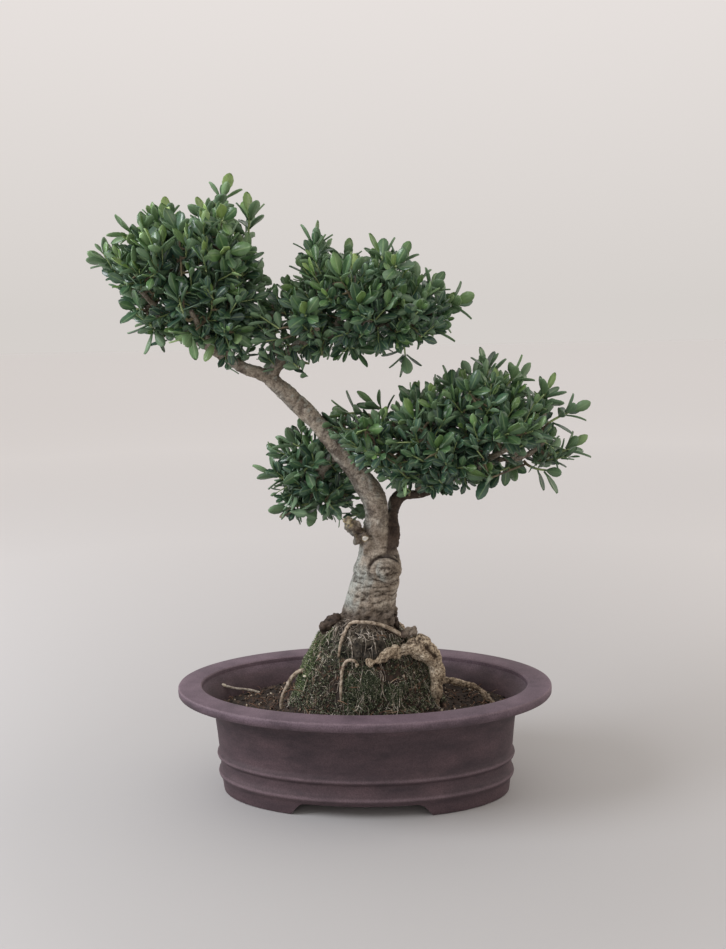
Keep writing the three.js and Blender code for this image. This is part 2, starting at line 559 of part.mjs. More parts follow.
// A twig as one skin: square, with each leaf drawn out of one face of a joint
function twigSolid({ rings, leaves }) {
  const points = [];
  const faces = [];
  const point = (v) => points.push(v.x, v.y, v.z) / 3 - 1;
  const quad = (a, b, c, d) => faces.push(a, b, c, a, c, d);
  const corners = rings.map((ring) => [0, 1, 2, 3].map((j) => point(corner(ring, j))));
  const last = rings.length - 1;
  const drawOut = (loop, { base, blade, across, upper, length }) => {
    let before = loop;
    for (const [share, width] of OUTLINE) {
      const side = (w, h) => {
        const at = base.clone().addScaledVector(blade, share * length);
        at.addScaledVector(across, (w * width * LEAF_WIDTH * length) / 2);
        at.addScaledVector(upper, (h * LEAF_THICKNESS) / 2 - LEAF_ARCH * length * share * share);
        return point(at);
      };
      const now = [side(-1, -1), side(1, -1), side(1, 1), side(-1, 1)];
      for (let j = 0; j < 4; j += 1) quad(before[j], before[(j + 1) % 4], now[(j + 1) % 4], now[j]);
      before = now;
    }
    const tip = base.clone().addScaledVector(blade, length);
    const [low, high] = [-1, 1].map((h) =>
      point(tip.clone().addScaledVector(upper, (h * LEAF_THICKNESS) / 2 - LEAF_ARCH * length)));
    faces.push(before[0], before[1], low, before[2], before[3], high);
    quad(before[1], before[2], high, low);
    quad(before[3], before[0], low, high);
  };
  quad(...[3, 2, 1, 0].map((j) => corners[0][j]));
  for (let k = 0; k < last; k += 1) {
    for (let j = 0; j < 4; j += 1) {
      const loop = [corners[k][(j + 3) % 4], corners[k][j], corners[k + 1][j], corners[k + 1][(j + 3) % 4]];
      const leaf = leaves.find((l) => l.joint === last - k && l.face === j);
      if (leaf) drawOut(loop, leaf);
      else quad(...loop);
    }
  }
  const end = leaves.find((l) => l.joint === 0);
  if (end) drawOut([3, 0, 1, 2].map((j) => corners[last][j]), end);
  else quad(...corners[last]);
  const geometry = new THREE.BufferGeometry();
  geometry.setAttribute("position", new THREE.Float32BufferAttribute(points, 3));
  geometry.setIndex(faces);
  return solid(geometry);
}

function woodSolid(grow) {
  const options = { grow };
  const parts = [limb(TRUNK, { ...options, sides: 10, step: 13, uneven: 0.06 })];
  parts.push(...KNOBS.map((k) => knob(k, grow)));
  parts.push(...STUBS.map((s) => limb(s, { ...options, sides: 5, step: 8, uneven: 0.1 })));
  const sidesFor = ([first]) => (first[3] > 5 ? 6 : 4);
  parts.push(...ROOTS.map((r) => limb(r, { ...options, sides: sidesFor(r), step: 17, uneven: 0.12 })));
  if (grow === 0) parts.push(...BRANCHES.map((b) => limb(b, { sides: sidesFor(b), step: 24 })));
  return join(parts);
}

const MOSS_CUSHIONS = {
  moss_left: { angles: [2.5, 3.75], reach: [0.42, 0.92], thickness: 4.5, colour: "bright" },
  moss_front: { angles: [4.35, 5.5], reach: [0.74, 1.05], thickness: 4, colour: "dark" },
};

const grownWood = woodSolid(CLEARANCE);
const soilBelow = soilSolid(CLEARANCE);
const rooms = [grownWood, screenRoom(-DRAIN_OFFSET), screenRoom(DRAIN_OFFSET)];

addNode("pot", potSolid(), CLAY);
addNode("drain_screen_left", screenSolid(-DRAIN_OFFSET), SCREEN);
addNode("drain_screen_right", screenSolid(DRAIN_OFFSET), SCREEN);
addNode("soil", rooms.reduce((soil, room) => soil.subtract(room), soilSolid()), SOIL);
for (const [name, spec] of Object.entries(MOSS_CUSHIONS)) {
  addNode(name, mossSolid(spec).subtract(soilBelow).subtract(grownWood), MOSS[spec.colour]);
}
addNode("trunk", woodSolid(0), BARK);
for (const plan of planSprays()) {
  addNode(plan.name, join(twigsOf(plan).map(twigSolid)), LEAF[SPRAY_COLOUR[plan.pad]]);
}

// Origin under the middle of the whole tree, on the table
const extent = new THREE.Box3().setFromObject(tree);
tree.position.set(-(extent.min.x + extent.max.x) / 2, -(extent.min.y + extent.max.y) / 2, -extent.min.z);
tree.updateMatrixWorld(true);

export default tree;
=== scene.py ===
# %% [markdown]
# # Holly bonsai in an oval pot
#
# A small-leaved holly, trained as a bonsai, leans out of a mossy root mound in an unglazed oval pot. This
# lesson starts from the solid model of the tree, which fixes every size and place. It then gives each piece
# the surface of the real thing, and fills the airy leaf pads with the leaves that the model leaves out.

# %% Load the solid model
import math

import bmesh
import bpy
import numpy as np
from mathutils import Matrix, Vector, noise
from mathutils.bvhtree import BVHTree


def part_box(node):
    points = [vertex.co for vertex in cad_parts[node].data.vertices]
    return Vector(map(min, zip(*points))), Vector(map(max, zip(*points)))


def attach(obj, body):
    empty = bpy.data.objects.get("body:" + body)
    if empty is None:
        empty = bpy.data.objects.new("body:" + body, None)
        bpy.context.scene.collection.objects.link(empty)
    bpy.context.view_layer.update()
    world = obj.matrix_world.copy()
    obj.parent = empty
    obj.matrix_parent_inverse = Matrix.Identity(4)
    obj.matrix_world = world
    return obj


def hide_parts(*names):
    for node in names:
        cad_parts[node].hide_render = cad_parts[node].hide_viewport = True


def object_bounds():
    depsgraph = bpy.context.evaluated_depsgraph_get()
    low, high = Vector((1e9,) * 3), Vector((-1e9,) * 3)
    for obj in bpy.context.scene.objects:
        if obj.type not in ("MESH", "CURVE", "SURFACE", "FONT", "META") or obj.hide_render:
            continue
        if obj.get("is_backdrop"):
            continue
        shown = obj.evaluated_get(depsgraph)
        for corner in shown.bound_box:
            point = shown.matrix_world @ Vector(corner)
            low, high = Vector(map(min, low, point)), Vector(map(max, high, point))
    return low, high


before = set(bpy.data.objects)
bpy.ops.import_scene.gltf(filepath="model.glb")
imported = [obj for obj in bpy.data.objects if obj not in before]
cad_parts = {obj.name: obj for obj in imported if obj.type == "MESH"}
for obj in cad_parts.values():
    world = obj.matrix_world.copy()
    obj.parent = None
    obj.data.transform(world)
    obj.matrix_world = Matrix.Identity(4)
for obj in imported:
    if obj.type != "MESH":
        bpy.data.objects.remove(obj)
solid_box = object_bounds()
print("solid model, metres:", [round(v, 4) for corner in solid_box for v in corner])

# %% [markdown]
# ## Units and places
#
# The lists below give places in millimetres from the middle of the pot, with the table at zero, because
# that is how a grower would measure the tree. Blender works in metres, and the solid model has its own
# origin, so one function turns the one into the other.

# %% Millimetres from the pot's middle to metres in the model
MM = 0.001
pot_low, pot_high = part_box("pot")
POT_MIDDLE = Vector(((pot_low.x + pot_high.x) / 2, (pot_low.y + pot_high.y) / 2, 0))


def metres(place):
    return POT_MIDDLE + Vector(place[:3]) * MM


print("middle of the pot:", [round(v, 4) for v in POT_MIDDLE])

# %% [markdown]
# ## Camera
#
# The photograph was taken from a metre away and as high as the middle of the crown, with the camera tipped
# down by 9 degrees. The lens is a usual one for such a picture. The camera's place was worked out from the
# curves of the pot's rim and ridges, so the pot's own ellipses fall where they do in the picture.

# %% Camera
CAMERA_PLACE = (72.25, -991.86, 451.31)
CAMERA_DOWN = 0.1502
CAMERA_TURN = 0.0687
CAMERA_ROLL = -0.0231
LENS_MM = 41.73
SENSOR_MM = 36

right = Vector((math.cos(CAMERA_TURN), math.sin(CAMERA_TURN), 0))
level = Vector((-math.sin(CAMERA_TURN), math.cos(CAMERA_TURN), 0))
ahead = level * math.cos(CAMERA_DOWN) - Vector((0, 0, math.sin(CAMERA_DOWN)))
above = right.cross(ahead)
camera_x = right * math.cos(CAMERA_ROLL) + above * math.sin(CAMERA_ROLL)
camera_y = above * math.cos(CAMERA_ROLL) - right * math.sin(CAMERA_ROLL)

camera_data = bpy.data.cameras.new("camera")
camera_data.lens = LENS_MM
camera_data.sensor_width = SENSOR_MM
camera = bpy.data.objects.new("camera", camera_data)
bpy.context.scene.collection.objects.link(camera)
axes = Matrix((camera_x, camera_y, -ahead)).transposed().to_4x4()
camera.matrix_world = Matrix.Translation(metres(CAMERA_PLACE)) @ axes
bpy.context.scene.camera = camera
print("camera at", [round(v, 3) for v in camera.matrix_world.translation])

# %% [markdown]
# ## Tools for modelling
#
# Operators work on what is selected, so each step first selects its piece alone. A few short helpers save
# repeating that: one selects, one picks vertices by their place in edit mode, one adds a modifier and
# applies it, and one names a finished piece and ties it to the model. Another gives a piece one even skin,
# which is what noise needs to push it in and out, and a last one lets a rule carve that skin.

# %% Helpers
def select_only(*pieces):
    bpy.ops.object.select_all(action="DESELECT")
    for piece in pieces:
        piece.select_set(True)
    bpy.context.view_layer.objects.active = pieces[-1]


def put_in_scene(name, data):
    thing = bpy.data.objects.new(name, data)
    bpy.context.scene.collection.objects.link(thing)
    return thing


def edit(piece):
    select_only(piece)
    bpy.ops.object.mode_set(mode="EDIT")
    bpy.ops.mesh.select_all(action="SELECT")


def leave_edit():
    bpy.ops.object.mode_set(mode="OBJECT")


def pick(piece, test):
    shape = bmesh.from_edit_mesh(piece.data)
    for part in (*shape.faces, *shape.edges, *shape.verts):
        part.select_set(False)
    for vertex in shape.verts:
        vertex.select_set(test(vertex.co))
    shape.select_flush_mode()
    bmesh.update_edit_mesh(piece.data)


def modify(piece, kind, **settings):
    select_only(piece)
    modifier = piece.modifiers.new(kind.title(), kind)
    for name, value in settings.items():
        setattr(modifier, name, value)
    bpy.ops.object.modifier_apply(modifier=modifier.name)


def settle(piece):
    select_only(piece)
    bpy.ops.object.transform_apply(location=True, rotation=True, scale=True)


def even_skin(piece, voxel_mm, smoothing):
    modify(piece, "REMESH", mode="VOXEL", voxel_size=voxel_mm * MM)
    modify(piece, "SMOOTH", factor=0.5, iterations=smoothing)


def solid_copy(node):
    piece = put_in_scene(node + "_copy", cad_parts[node].data.copy())
    piece.data.materials.clear()
    edit(piece)
    bpy.ops.mesh.remove_doubles(threshold=1e-6)
    leave_edit()
    return piece


def roughen(piece, name, size_mm, height_mm):
    texture = bpy.data.textures.new(name, "CLOUDS")
    texture.noise_scale = size_mm * MM
    modify(piece, "DISPLACE", texture=texture, strength=height_mm * MM, texture_coords="LOCAL")


def uneven(places, size_mm, stretch=(1, 1, 1), octaves=4):
    spots = places * np.array(stretch) / size_mm
    return np.array([noise.fractal(Vector(spot), 0.9, 2.1, octaves) for spot in spots])


def creased(wave, sharpness=8):
    return (1 - np.minimum(np.abs(wave), 1)) ** sharpness


def carve(piece, rule):
    mesh = piece.data
    places = (np.array([v.co for v in mesh.vertices]) - np.array(POT_MIDDLE)) / MM
    normals = np.array([n.vector for n in mesh.vertex_normals])
    heights, marks = rule(places, normals)
    moved = (places + normals * heights[:, None]) * MM + np.array(POT_MIDDLE)
    mesh.vertices.foreach_set("co", moved.ravel())
    for label, values in marks.items():
        attribute = mesh.attributes.new(label, "FLOAT", "POINT")
        attribute.data.foreach_set("value", np.clip(values, 0, 1).astype(np.float32))
    mesh.update()
    mesh.shade_smooth()


def finish(piece, name, material, replaces=()):
    settle(piece)
    piece.name = name
    piece.data.name = name
    if material:
        piece.data.materials.clear()
        piece.data.materials.append(material)
    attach(piece, "root")
    if replaces:
        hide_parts(*replaces)
    triangles = sum(len(face.vertices) - 2 for face in piece.data.polygons)
    print(f"{name}: {triangles} triangles")


# %% [markdown]
# ## Tools for materials
#
# A colour read off a screen is an sRGB value, and a shader wants linear light, so one function converts.
# Another adds a node, sets it up, links it, and gives back the output that the next node reads. A kind of
# node has Blender's own name for it, without the ShaderNode in front. Every pattern below has its size
# worked out from millimetres, since the noise nodes repeat once per metre at scale 1.

# %% Colour and node helpers
def linear(hex_colour):
    channels = [int(hex_colour[i:i + 2], 16) / 255 for i in (1, 3, 5)]
    return [c / 12.92 if c <= 0.04045 else ((c + 0.055) / 1.055) ** 2.4 for c in channels] + [1.0]


def set_inputs(node, values):
    for key, value in values.items():
        if isinstance(value, bpy.types.NodeSocket):
            node.id_data.links.new(value, node.inputs[key])
        else:
            node.inputs[key].default_value = value


def new_material(name, **surface):
    material = bpy.data.materials.new(name)
    material.use_nodes = True
    shader = material.node_tree.nodes["Principled BSDF"]
    set_inputs(shader, {key.replace("_", " "): value for key, value in surface.items()})
    return material, shader


def add_node(material, kind, output=None, stops=(), inputs=None, **settings):
    node = material.node_tree.nodes.new("ShaderNode" + kind)
    for key, value in settings.items():
        setattr(node, key, value)
    for index, (place, hex_colour) in enumerate(stops):
        dots = node.color_ramp.elements
        dot = dots[index] if index < 2 else dots.new(place)
        dot.position = place
        dot.color = linear(hex_colour)
    set_inputs(node, inputs or {})
    return node.outputs[output] if output else next(out for out in node.outputs if out.enabled)


def per_mm(size):
    return 1 / (size * MM)


# %% Materials of one pattern: clouds of a size in millimetres, or the tone that each copy carries
def clouded_material(name, size_mm, stops, detail=3.0, harshness=0.5, **surface):
    material, shader = new_material(name, **surface)
    place = add_node(material, "TexCoord", "Object")
    clouds = add_node(material, "TexNoise", inputs={
        "Vector": place, "Scale": per_mm(size_mm), "Detail": detail, "Roughness": harshness})
    set_inputs(shader, {"Base Color": add_node(material, "ValToRGB", stops=stops, inputs={"Fac": clouds})})
    return material


def toned_material(name, stops, **surface):
    material, shader = new_material(name, **surface)
    tone = add_node(material, "Attribute", "Fac", attribute_name="tone")
    set_inputs(shader, {"Base Color": add_node(material, "ValToRGB", stops=stops, inputs={"Fac": tone})})
    return material


# %% [markdown]
# ## Light and floor
#
# The tree stood by a window: soft daylight from the upper left and front, and pale walls all round that
# fill the shadows. A large area lamp stands in for the window, a weak one for the bright wall on the right,
# and a pale sky gives the rest. The floor is plain and pale. It grows lighter with distance, and the sky
# starts with the tone of the lit floor far away, so that hardly any horizon shows, as with a studio's
# curved paper.

# %% Sky, lamps and floor
SKY_TONES = [(0.0, "#d5d0cc"), (0.28, "#e8e2df")]
FLOOR_TONES = [(0.05, "#b8b7b6"), (0.2, "#d5d4d3"), (0.45, "#e8e7e6"), (1.0, "#eae9e8")]
FLOOR_SIZE = 24
PALEST_AT = 6.0
LAMP_AIM = (0, 0, 250)
bpy.context.scene.view_settings.view_transform = "Standard"

world = bpy.data.worlds.new("pale room")
bpy.context.scene.world = world
world.use_nodes = True
direction = add_node(world, "TexCoord", "Generated")
height = add_node(world, "SeparateXYZ", "Z", inputs={"Vector": direction})
sky = add_node(world, "ValToRGB", stops=SKY_TONES, inputs={"Fac": height})
set_inputs(world.node_tree.nodes["Background"], {"Color": sky})


def lamp(name, place, size_mm, watts, hex_colour):
    data = bpy.data.lights.new(name, "AREA")
    data.shape = "DISK"
    data.size = size_mm * MM
    data.energy = watts
    data.color = linear(hex_colour)[:3]
    light = put_in_scene(name, data)
    light.location = metres(place)
    light.rotation_euler = (metres(LAMP_AIM) - metres(place)).to_track_quat("-Z", "Y").to_euler()


lamp("window", (-1400, -500, 1100), size_mm=1000, watts=22, hex_colour="#f4f7ff")
lamp("bright wall", (1500, 300, 700), size_mm=1400, watts=5, hex_colour="#fff2e6")

bpy.ops.mesh.primitive_plane_add(size=FLOOR_SIZE, location=(0, 0, 0))
floor = bpy.context.object
floor.name = "floor"
floor_paint, shader = new_material("matt floor paint", Roughness=0.9, Specular_IOR_Level=0.2)
place = add_node(floor_paint, "TexCoord", "Object")
distance = add_node(floor_paint, "VectorMath", operation="LENGTH", inputs={0: place})
share = add_node(floor_paint, "Math", operation="DIVIDE", inputs={0: distance, 1: PALEST_AT})
floor_tone = add_node(floor_paint, "ValToRGB", stops=FLOOR_TONES, inputs={"Fac": share})
set_inputs(shader, {"Base Color": floor_tone})
floor.data.materials.append(floor_paint)
floor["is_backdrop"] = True
print("floor, sky and two lamps")

# %% [markdown]
# ## Unglazed stoneware
#
# The pot is unglazed purple-brown stoneware, pressed in a mould and fired. Bare clay scatters light evenly,
# so it is rough with a weak highlight. Grains of about 1 mm give the fine speckle, and clouds of 45 mm the
# uneven tone that watering leaves behind, drawn out level as the clay was. The lip is paler than the body,
# with a ragged edge between the two, and a painted highlight runs along the crests of the ridges and the
# lip's edge, patchy with the clouds.

# %% Stoneware
LEVEL_STREAKS = (1, 1, 2.6)
LIP_EDGE = (99, 108)
RAGGED = 10
TOP_OF_RAMP = 110
# The heights below mark a painted highlight along the crests of the two ridges and the lip's edge.
HIGHLIGHT_HEIGHTS = [(16.6, 0), (19, 1), (21.4, 0), (34.6, 0), (36.8, 1), (39, 0), (102.4, 0), (103.8, 1),
                (104.4, 0)]
stoneware, shader = new_material("unglazed stoneware", Roughness=0.68, IOR=1.5)
place = add_node(stoneware, "TexCoord", "Object")
streaks = add_node(stoneware, "Mapping", inputs={"Vector": place, "Scale": LEVEL_STREAKS})
cloud = add_node(stoneware, "TexNoise", inputs={
    "Vector": streaks, "Scale": per_mm(45), "Detail": 6.0, "Roughness": 0.65})
body_tone, lip_tone = [
    add_node(stoneware, "ValToRGB", stops=[(0.34, dark), (0.66, pale)], inputs={"Fac": cloud})
    for dark, pale in (("#3c2f35", "#5a474c"), ("#584953", "#796671"))]
height = add_node(stoneware, "SeparateXYZ", "Z", inputs={"Vector": place})
ragged = add_node(stoneware, "Math", operation="MULTIPLY_ADD", inputs={0: cloud, 1: RAGGED * MM, 2: height})
on_lip = add_node(stoneware, "MapRange", inputs={
    "Value": ragged, "From Min": LIP_EDGE[0] * MM, "From Max": LIP_EDGE[1] * MM})
tone = add_node(stoneware, "Mix", data_type="RGBA", inputs={"Factor": on_lip, "A": body_tone, "B": lip_tone})
crests = add_node(stoneware, "Math", operation="DIVIDE", inputs={0: height, 1: TOP_OF_RAMP * MM})
# Painted highlight: a pale mix on the ridge crests and the lip's edge, patchy with the clouds.
crest_highlight = add_node(stoneware, "ValToRGB", inputs={"Fac": crests}, stops=[
    (mm / TOP_OF_RAMP, "#ffffff" if share else "#000000") for mm, share in HIGHLIGHT_HEIGHTS])
highlight_share = add_node(stoneware, "Math", operation="MULTIPLY", inputs={0: crest_highlight, 1: cloud})
highlighted = add_node(stoneware, "Mix", data_type="RGBA", inputs={
    "Factor": highlight_share, "A": tone, "B": linear("#8d7a81")})
grain = add_node(stoneware, "TexNoise", inputs={"Vector": place, "Scale": per_mm(1.2), "Detail": 2.0})
speck = add_node(stoneware, "ValToRGB", stops=[(0.35, "#b8b0b2"), (0.65, "#ffffff")], inputs={"Fac": grain})
mixed = add_node(stoneware, "Mix", data_type="RGBA", blend_type="MULTIPLY", inputs={
    "Factor": 0.6, "A": highlighted, "B": speck})
bump = add_node(stoneware, "Bump", inputs={"Strength": 0.25, "Distance": 0.4 * MM, "Height": grain})
set_inputs(shader, {"Base Color": mixed, "Normal": bump})
print("made", stoneware.name)

# %% [markdown]
# ## Pot
#
# A potter throws or presses such a pot from one section, carried round the oval. The same can be done here:
# a circle is pressed to an oval and then extruded ring by ring along the section, from the foot, up over
# the two ridges and the everted lip, and down inside to the floor. The wall keeps its thickness because
# each ring's depth is its length less a fixed amount.

# %% Pot: the section carried round an oval
OVAL_INSET = 66
FLOOR_RADIUS = 121
UNDERSIDE = 12
FLOOR_TOP = 20
POT_SECTION = [
    (118, 12), (119.5, 5), (121.5, 0.6), (123, 0), (134.5, 0), (135.8, 0.8), (136.3, 4), (137, 10),
    (137.6, 13.6), (138.6, 14.8), (139.9, 16.8), (140.4, 19), (139.9, 21.2), (138.9, 23), (138.3, 24.5),
    (138, 28), (137.9, 31.8), (138.7, 32.9), (140.4, 34.4), (141.2, 36.8), (140.6, 39.2), (139.4, 41),
    (139, 43), (140.2, 58), (141.6, 72), (143, 83), (145.6, 89), (150, 93.4), (156, 95.2), (172, 95.6),
    (174.2, 96.1), (175, 97.2), (175.2, 100.6), (175, 103), (174.3, 104.1), (172.8, 104.5), (156, 104.5),
    (154, 104.2), (153, 103.2), (152.5, 99.8), (149, 96.4), (144.6, 92), (140.6, 86), (137, 77),
    (134.6, 62), (132, 44), (128, 27), (FLOOR_RADIUS, FLOOR_TOP),
]
DRAIN_RADIUS = 9
DRAIN_OFFSET = 45
DRILL_LENGTH = 30
FOOT_GAP_AT_TABLE = 66
FOOT_GAP_AT_ROOF = 55
WIRE_CUT_LENGTH = 300
ARCH_CORNER = 5
SOFT_EDGE = 0.6
CUT_ABOVE = 0.6
OVAL_POINTS = 160


def oval_depth(radius):
    half_length = max(radius, FLOOR_RADIUS)
    return radius * (half_length - OVAL_INSET) / half_length


first_radius, first_height = POT_SECTION[0]
bpy.ops.mesh.primitive_circle_add(
    vertices=OVAL_POINTS, radius=first_radius * MM, location=metres((0, 0, first_height)))
pot = bpy.context.object
edit(pot)
bpy.ops.transform.resize(value=(1, oval_depth(first_radius) / first_radius, 1))
for (radius, height), (next_radius, next_height) in zip(POT_SECTION, POT_SECTION[1:]):
    lift = (0, 0, (next_height - height) * MM)
    bpy.ops.mesh.extrude_region_move(TRANSFORM_OT_translate={"value": lift})
    wider = (next_radius / radius, oval_depth(next_radius) / oval_depth(radius), 1)
    bpy.ops.transform.resize(value=wider, center_override=metres((0, 0, next_height)))
bpy.ops.mesh.edge_face_add()
pick(pot, lambda co: abs(co.z) < 1e-5 and math.hypot(co.x, co.y) < (first_radius + 0.5) * MM)
bpy.ops.mesh.edge_face_add()
bpy.ops.mesh.select_all(action="SELECT")
bpy.ops.mesh.normals_make_consistent(inside=False)
leave_edit()
print("pot rings:", len(POT_SECTION))

# %% [markdown]
# The arch between the two feet is cut out as a potter would with a wire: one straight cut through front and
# back, narrower at its roof, with rounded upper corners. Two drain holes go through the floor.

# %% Pot: the arch between the feet, and the drain holes
roof = UNDERSIDE + CUT_ABOVE
bpy.ops.mesh.primitive_cube_add(size=1, location=metres((0, 0, roof / 2 - 1)))
arch = bpy.context.object
arch.scale = (2 * FOOT_GAP_AT_TABLE * MM, WIRE_CUT_LENGTH * MM, (roof + 2) * MM)
edit(arch)
pick(arch, lambda co: co.z > 0)
bpy.ops.transform.resize(value=(FOOT_GAP_AT_ROOF / FOOT_GAP_AT_TABLE, 1, 1))
leave_edit()
settle(arch)
edit(arch)
shape = bmesh.from_edit_mesh(arch.data)
for edge in shape.edges:
    ends = [v.co for v in edge.verts]
    along_depth = abs(ends[0].y - ends[1].y) > 0.2
    edge.select_set(along_depth and min(ends[0].z, ends[1].z) > 0.01)
bmesh.update_edit_mesh(arch.data)
bpy.ops.mesh.bevel(offset=ARCH_CORNER * MM, segments=5)
leave_edit()
modify(pot, "BOOLEAN", operation="DIFFERENCE", object=arch, solver="EXACT")
bpy.data.objects.remove(arch)

for side in (-1, 1):
    bpy.ops.mesh.primitive_cylinder_add(
        vertices=40, radius=DRAIN_RADIUS * MM, depth=DRILL_LENGTH * MM,
        location=metres((side * DRAIN_OFFSET, 0, (UNDERSIDE + FLOOR_TOP) / 2)))
    drill = bpy.context.object
    modify(pot, "BOOLEAN", operation="DIFFERENCE", object=drill, solver="EXACT")
    bpy.data.objects.remove(drill)
modify(pot, "BEVEL", width=SOFT_EDGE * MM, segments=2, limit_method="ANGLE", angle_limit=math.radians(50))
select_only(pot)
bpy.ops.object.shade_smooth_by_angle(angle=math.radians(35))
finish(pot, "oval_pot", stoneware, ["pot"])

# %% [markdown]
# ## Black plastic mesh
#
# Growers lay a square of moulded plastic mesh over each drain hole. The solid model already has its shape,
# so it only needs the finish: black polythene, slightly shiny and scuffed.

# %% Drain screens
mesh_plastic, shader = new_material("moulded polythene mesh", Roughness=0.45, IOR=1.49)
scuff = add_node(mesh_plastic, "TexNoise", inputs={"Scale": per_mm(3), "Detail": 3.0})
scuff_tone = add_node(mesh_plastic, "ValToRGB", stops=[(0.35, "#202224"), (0.7, "#34373a")],
                      inputs={"Fac": scuff})
set_inputs(shader, {"Base Color": scuff_tone})
for name in ("drain_screen_left", "drain_screen_right"):
    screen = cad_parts[name]
    screen.data.materials.clear()
    screen.data.materials.append(mesh_plastic)
print("drain screens finished")

# %% [markdown]
# ## Copying small things
#
# Leaves, moss shoots and crumbs of soil repeat by the hundred. Each is modelled once and then copied into
# its place as a mesh of its own. One function turns a list of places into one mesh, and writes on every
# copy a tone from 0 to 1, which the material turns into colour.

# %% Copies of one shape in one mesh
def shape_of(piece):
    points = np.array([v.co for v in piece.data.vertices])
    faces = [list(face.vertices) for face in piece.data.polygons]
    layer = piece.data.uv_layers.active
    spots = np.array([spot.uv for spot in layer.data]) if layer else np.zeros((sum(map(len, faces)), 2))
    bpy.data.objects.remove(piece)
    return {"points": points, "faces": faces, "spots": spots, "under": np.zeros(len(points))}


def copies(name, shapes, places, tones):
    points, faces, spots, shades, unders = [], [], [], [], []
    kinds = np.arange(len(places)) % len(shapes)
    for kind, shape in enumerate(shapes):
        chosen = np.array(places)[kinds == kind]
        if not len(chosen):
            continue
        first, size = sum(map(len, points)), len(shape["points"])
        placed = np.einsum("nij,vj->nvi", chosen[:, :3, :3], shape["points"]) + chosen[:, None, :3, 3]
        points.append(placed.reshape(-1, 3))
        faces += [[first + k * size + v for v in face]
                  for k in range(len(chosen)) for face in shape["faces"]]
        spots.append(np.tile(shape["spots"], (len(chosen), 1)))
        shades.append(np.repeat(np.array(tones)[kinds == kind], size))
        unders.append(np.tile(shape["under"], len(chosen)))
    mesh = bpy.data.meshes.new(name)
    mesh.from_pydata(np.concatenate(points), [], faces)
    mesh.uv_layers.new(name="UVMap").data.foreach_set("uv", np.concatenate(spots).ravel())
    for label, values in (("tone", shades), ("underside", unders)):
        attribute = mesh.attributes.new(label, "FLOAT", "POINT")
        attribute.data.foreach_set("value", np.concatenate(values).astype(np.float32))
    mesh.shade_smooth()
    return put_in_scene(name, mesh)


def placing(origin, x_axis, y_axis, z_axis):
    place = np.eye(4)
    place[:3, 0], place[:3, 1], place[:3, 2], place[:3, 3] = x_axis, y_axis, z_axis, origin
    return place


def unit(v):
    return v / np.linalg.norm(v)


def from_point(places, point):
    return np.linalg.norm(places - np.array(point), axis=1)


def spots_on(piece, count, rng, keep):
    mesh = piece.data
    mesh.calc_loop_triangles()
    corners = np.array([[mesh.vertices[i].co for i in t.vertices] for t in mesh.loop_triangles])
    across = np.cross(corners[:, 1] - corners[:, 0], corners[:, 2] - corners[:, 0])
    area = np.linalg.norm(across, axis=1)
    normals = across / np.maximum(area[:, None], 1e-15)
    wanted = keep(corners.mean(axis=1), normals)
    share = area * wanted
    chosen = rng.choice(len(corners), size=count, p=share / share.sum())
    mix = rng.dirichlet((1, 1, 1), size=count)
    return np.einsum("nk,nkj->nj", mix, corners[chosen]), normals[chosen]


# %% [markdown]
# ## Soil
#
# Bonsai soil is a mix of bark, peat and grit, rubbed dark by water and full of fine rusty roots. The solid
# soil has the right mound, so its copy is turned into an even mesh, softened, and pushed in and out by two
# noises, one as large as clods and one as large as crumbs. Loose crumbs and fibres then lie on it.

# %% Soil surface
soil_mix, shader = new_material("damp potting soil", Roughness=0.92)
place = add_node(soil_mix, "TexCoord", "Object")
clods = add_node(soil_mix, "TexNoise", inputs={
    "Vector": place, "Scale": per_mm(6), "Detail": 6.0, "Roughness": 0.7})
soil_tone = add_node(soil_mix, "ValToRGB", inputs={"Fac": clods}, stops=[
    (0.3, "#16110d"), (0.52, "#30261e"), (0.64, "#4d3a2d"), (0.75, "#7a6453")])
bump = add_node(soil_mix, "Bump", inputs={"Strength": 0.8, "Distance": 1.5 * MM, "Height": clods})
set_inputs(shader, {"Base Color": soil_tone, "Normal": bump})

SOIL_LEVEL = 82
ground = solid_copy("soil")
even_skin(ground, voxel_mm=1.7, smoothing=6)
roughen(ground, "clods", size_mm=9, height_mm=3.2)
roughen(ground, "crumbs", size_mm=2.6, height_mm=1.6)
ground.data.shade_smooth()
finish(ground, "potting_soil", soil_mix, ["soil"])

# %% [markdown]
# Each crumb is an icosphere squashed to a flake. The rusty fibres are curves with a little thickness that
# lie on the soil and dip into it, which is how fine roots look once the top layer has washed away.

# %% Crumbs of soil
SOIL_SEED = 11
CRUMBS = 2600
CRUMB_SIZES = (0.5, 1.7)
STEEPEST = 0.15
BELOW_LEVEL = 4
RAISED = 0.3
MOSTLY_DARK = 1.3
rng = np.random.default_rng(SOIL_SEED)
bpy.ops.mesh.primitive_ico_sphere_add(subdivisions=1, radius=1, location=(0, 0, 0))
crumb = bpy.context.object
edit(crumb)
bpy.ops.transform.resize(value=(1, 0.8, 0.6))
leave_edit()
roughen(crumb, "crumb", size_mm=900, height_mm=600)
crumb_shape = shape_of(crumb)


def facing_up(centres, normals):
    return (normals[:, 2] > STEEPEST) & (centres[:, 2] > (SOIL_LEVEL - BELOW_LEVEL) * MM)


def tumbled(origin, size):
    x, y = unit(rng.normal(size=3)), unit(rng.normal(size=3))
    z = unit(np.cross(x, y))
    return placing(origin, x * size, np.cross(z, x) * size, z * size)


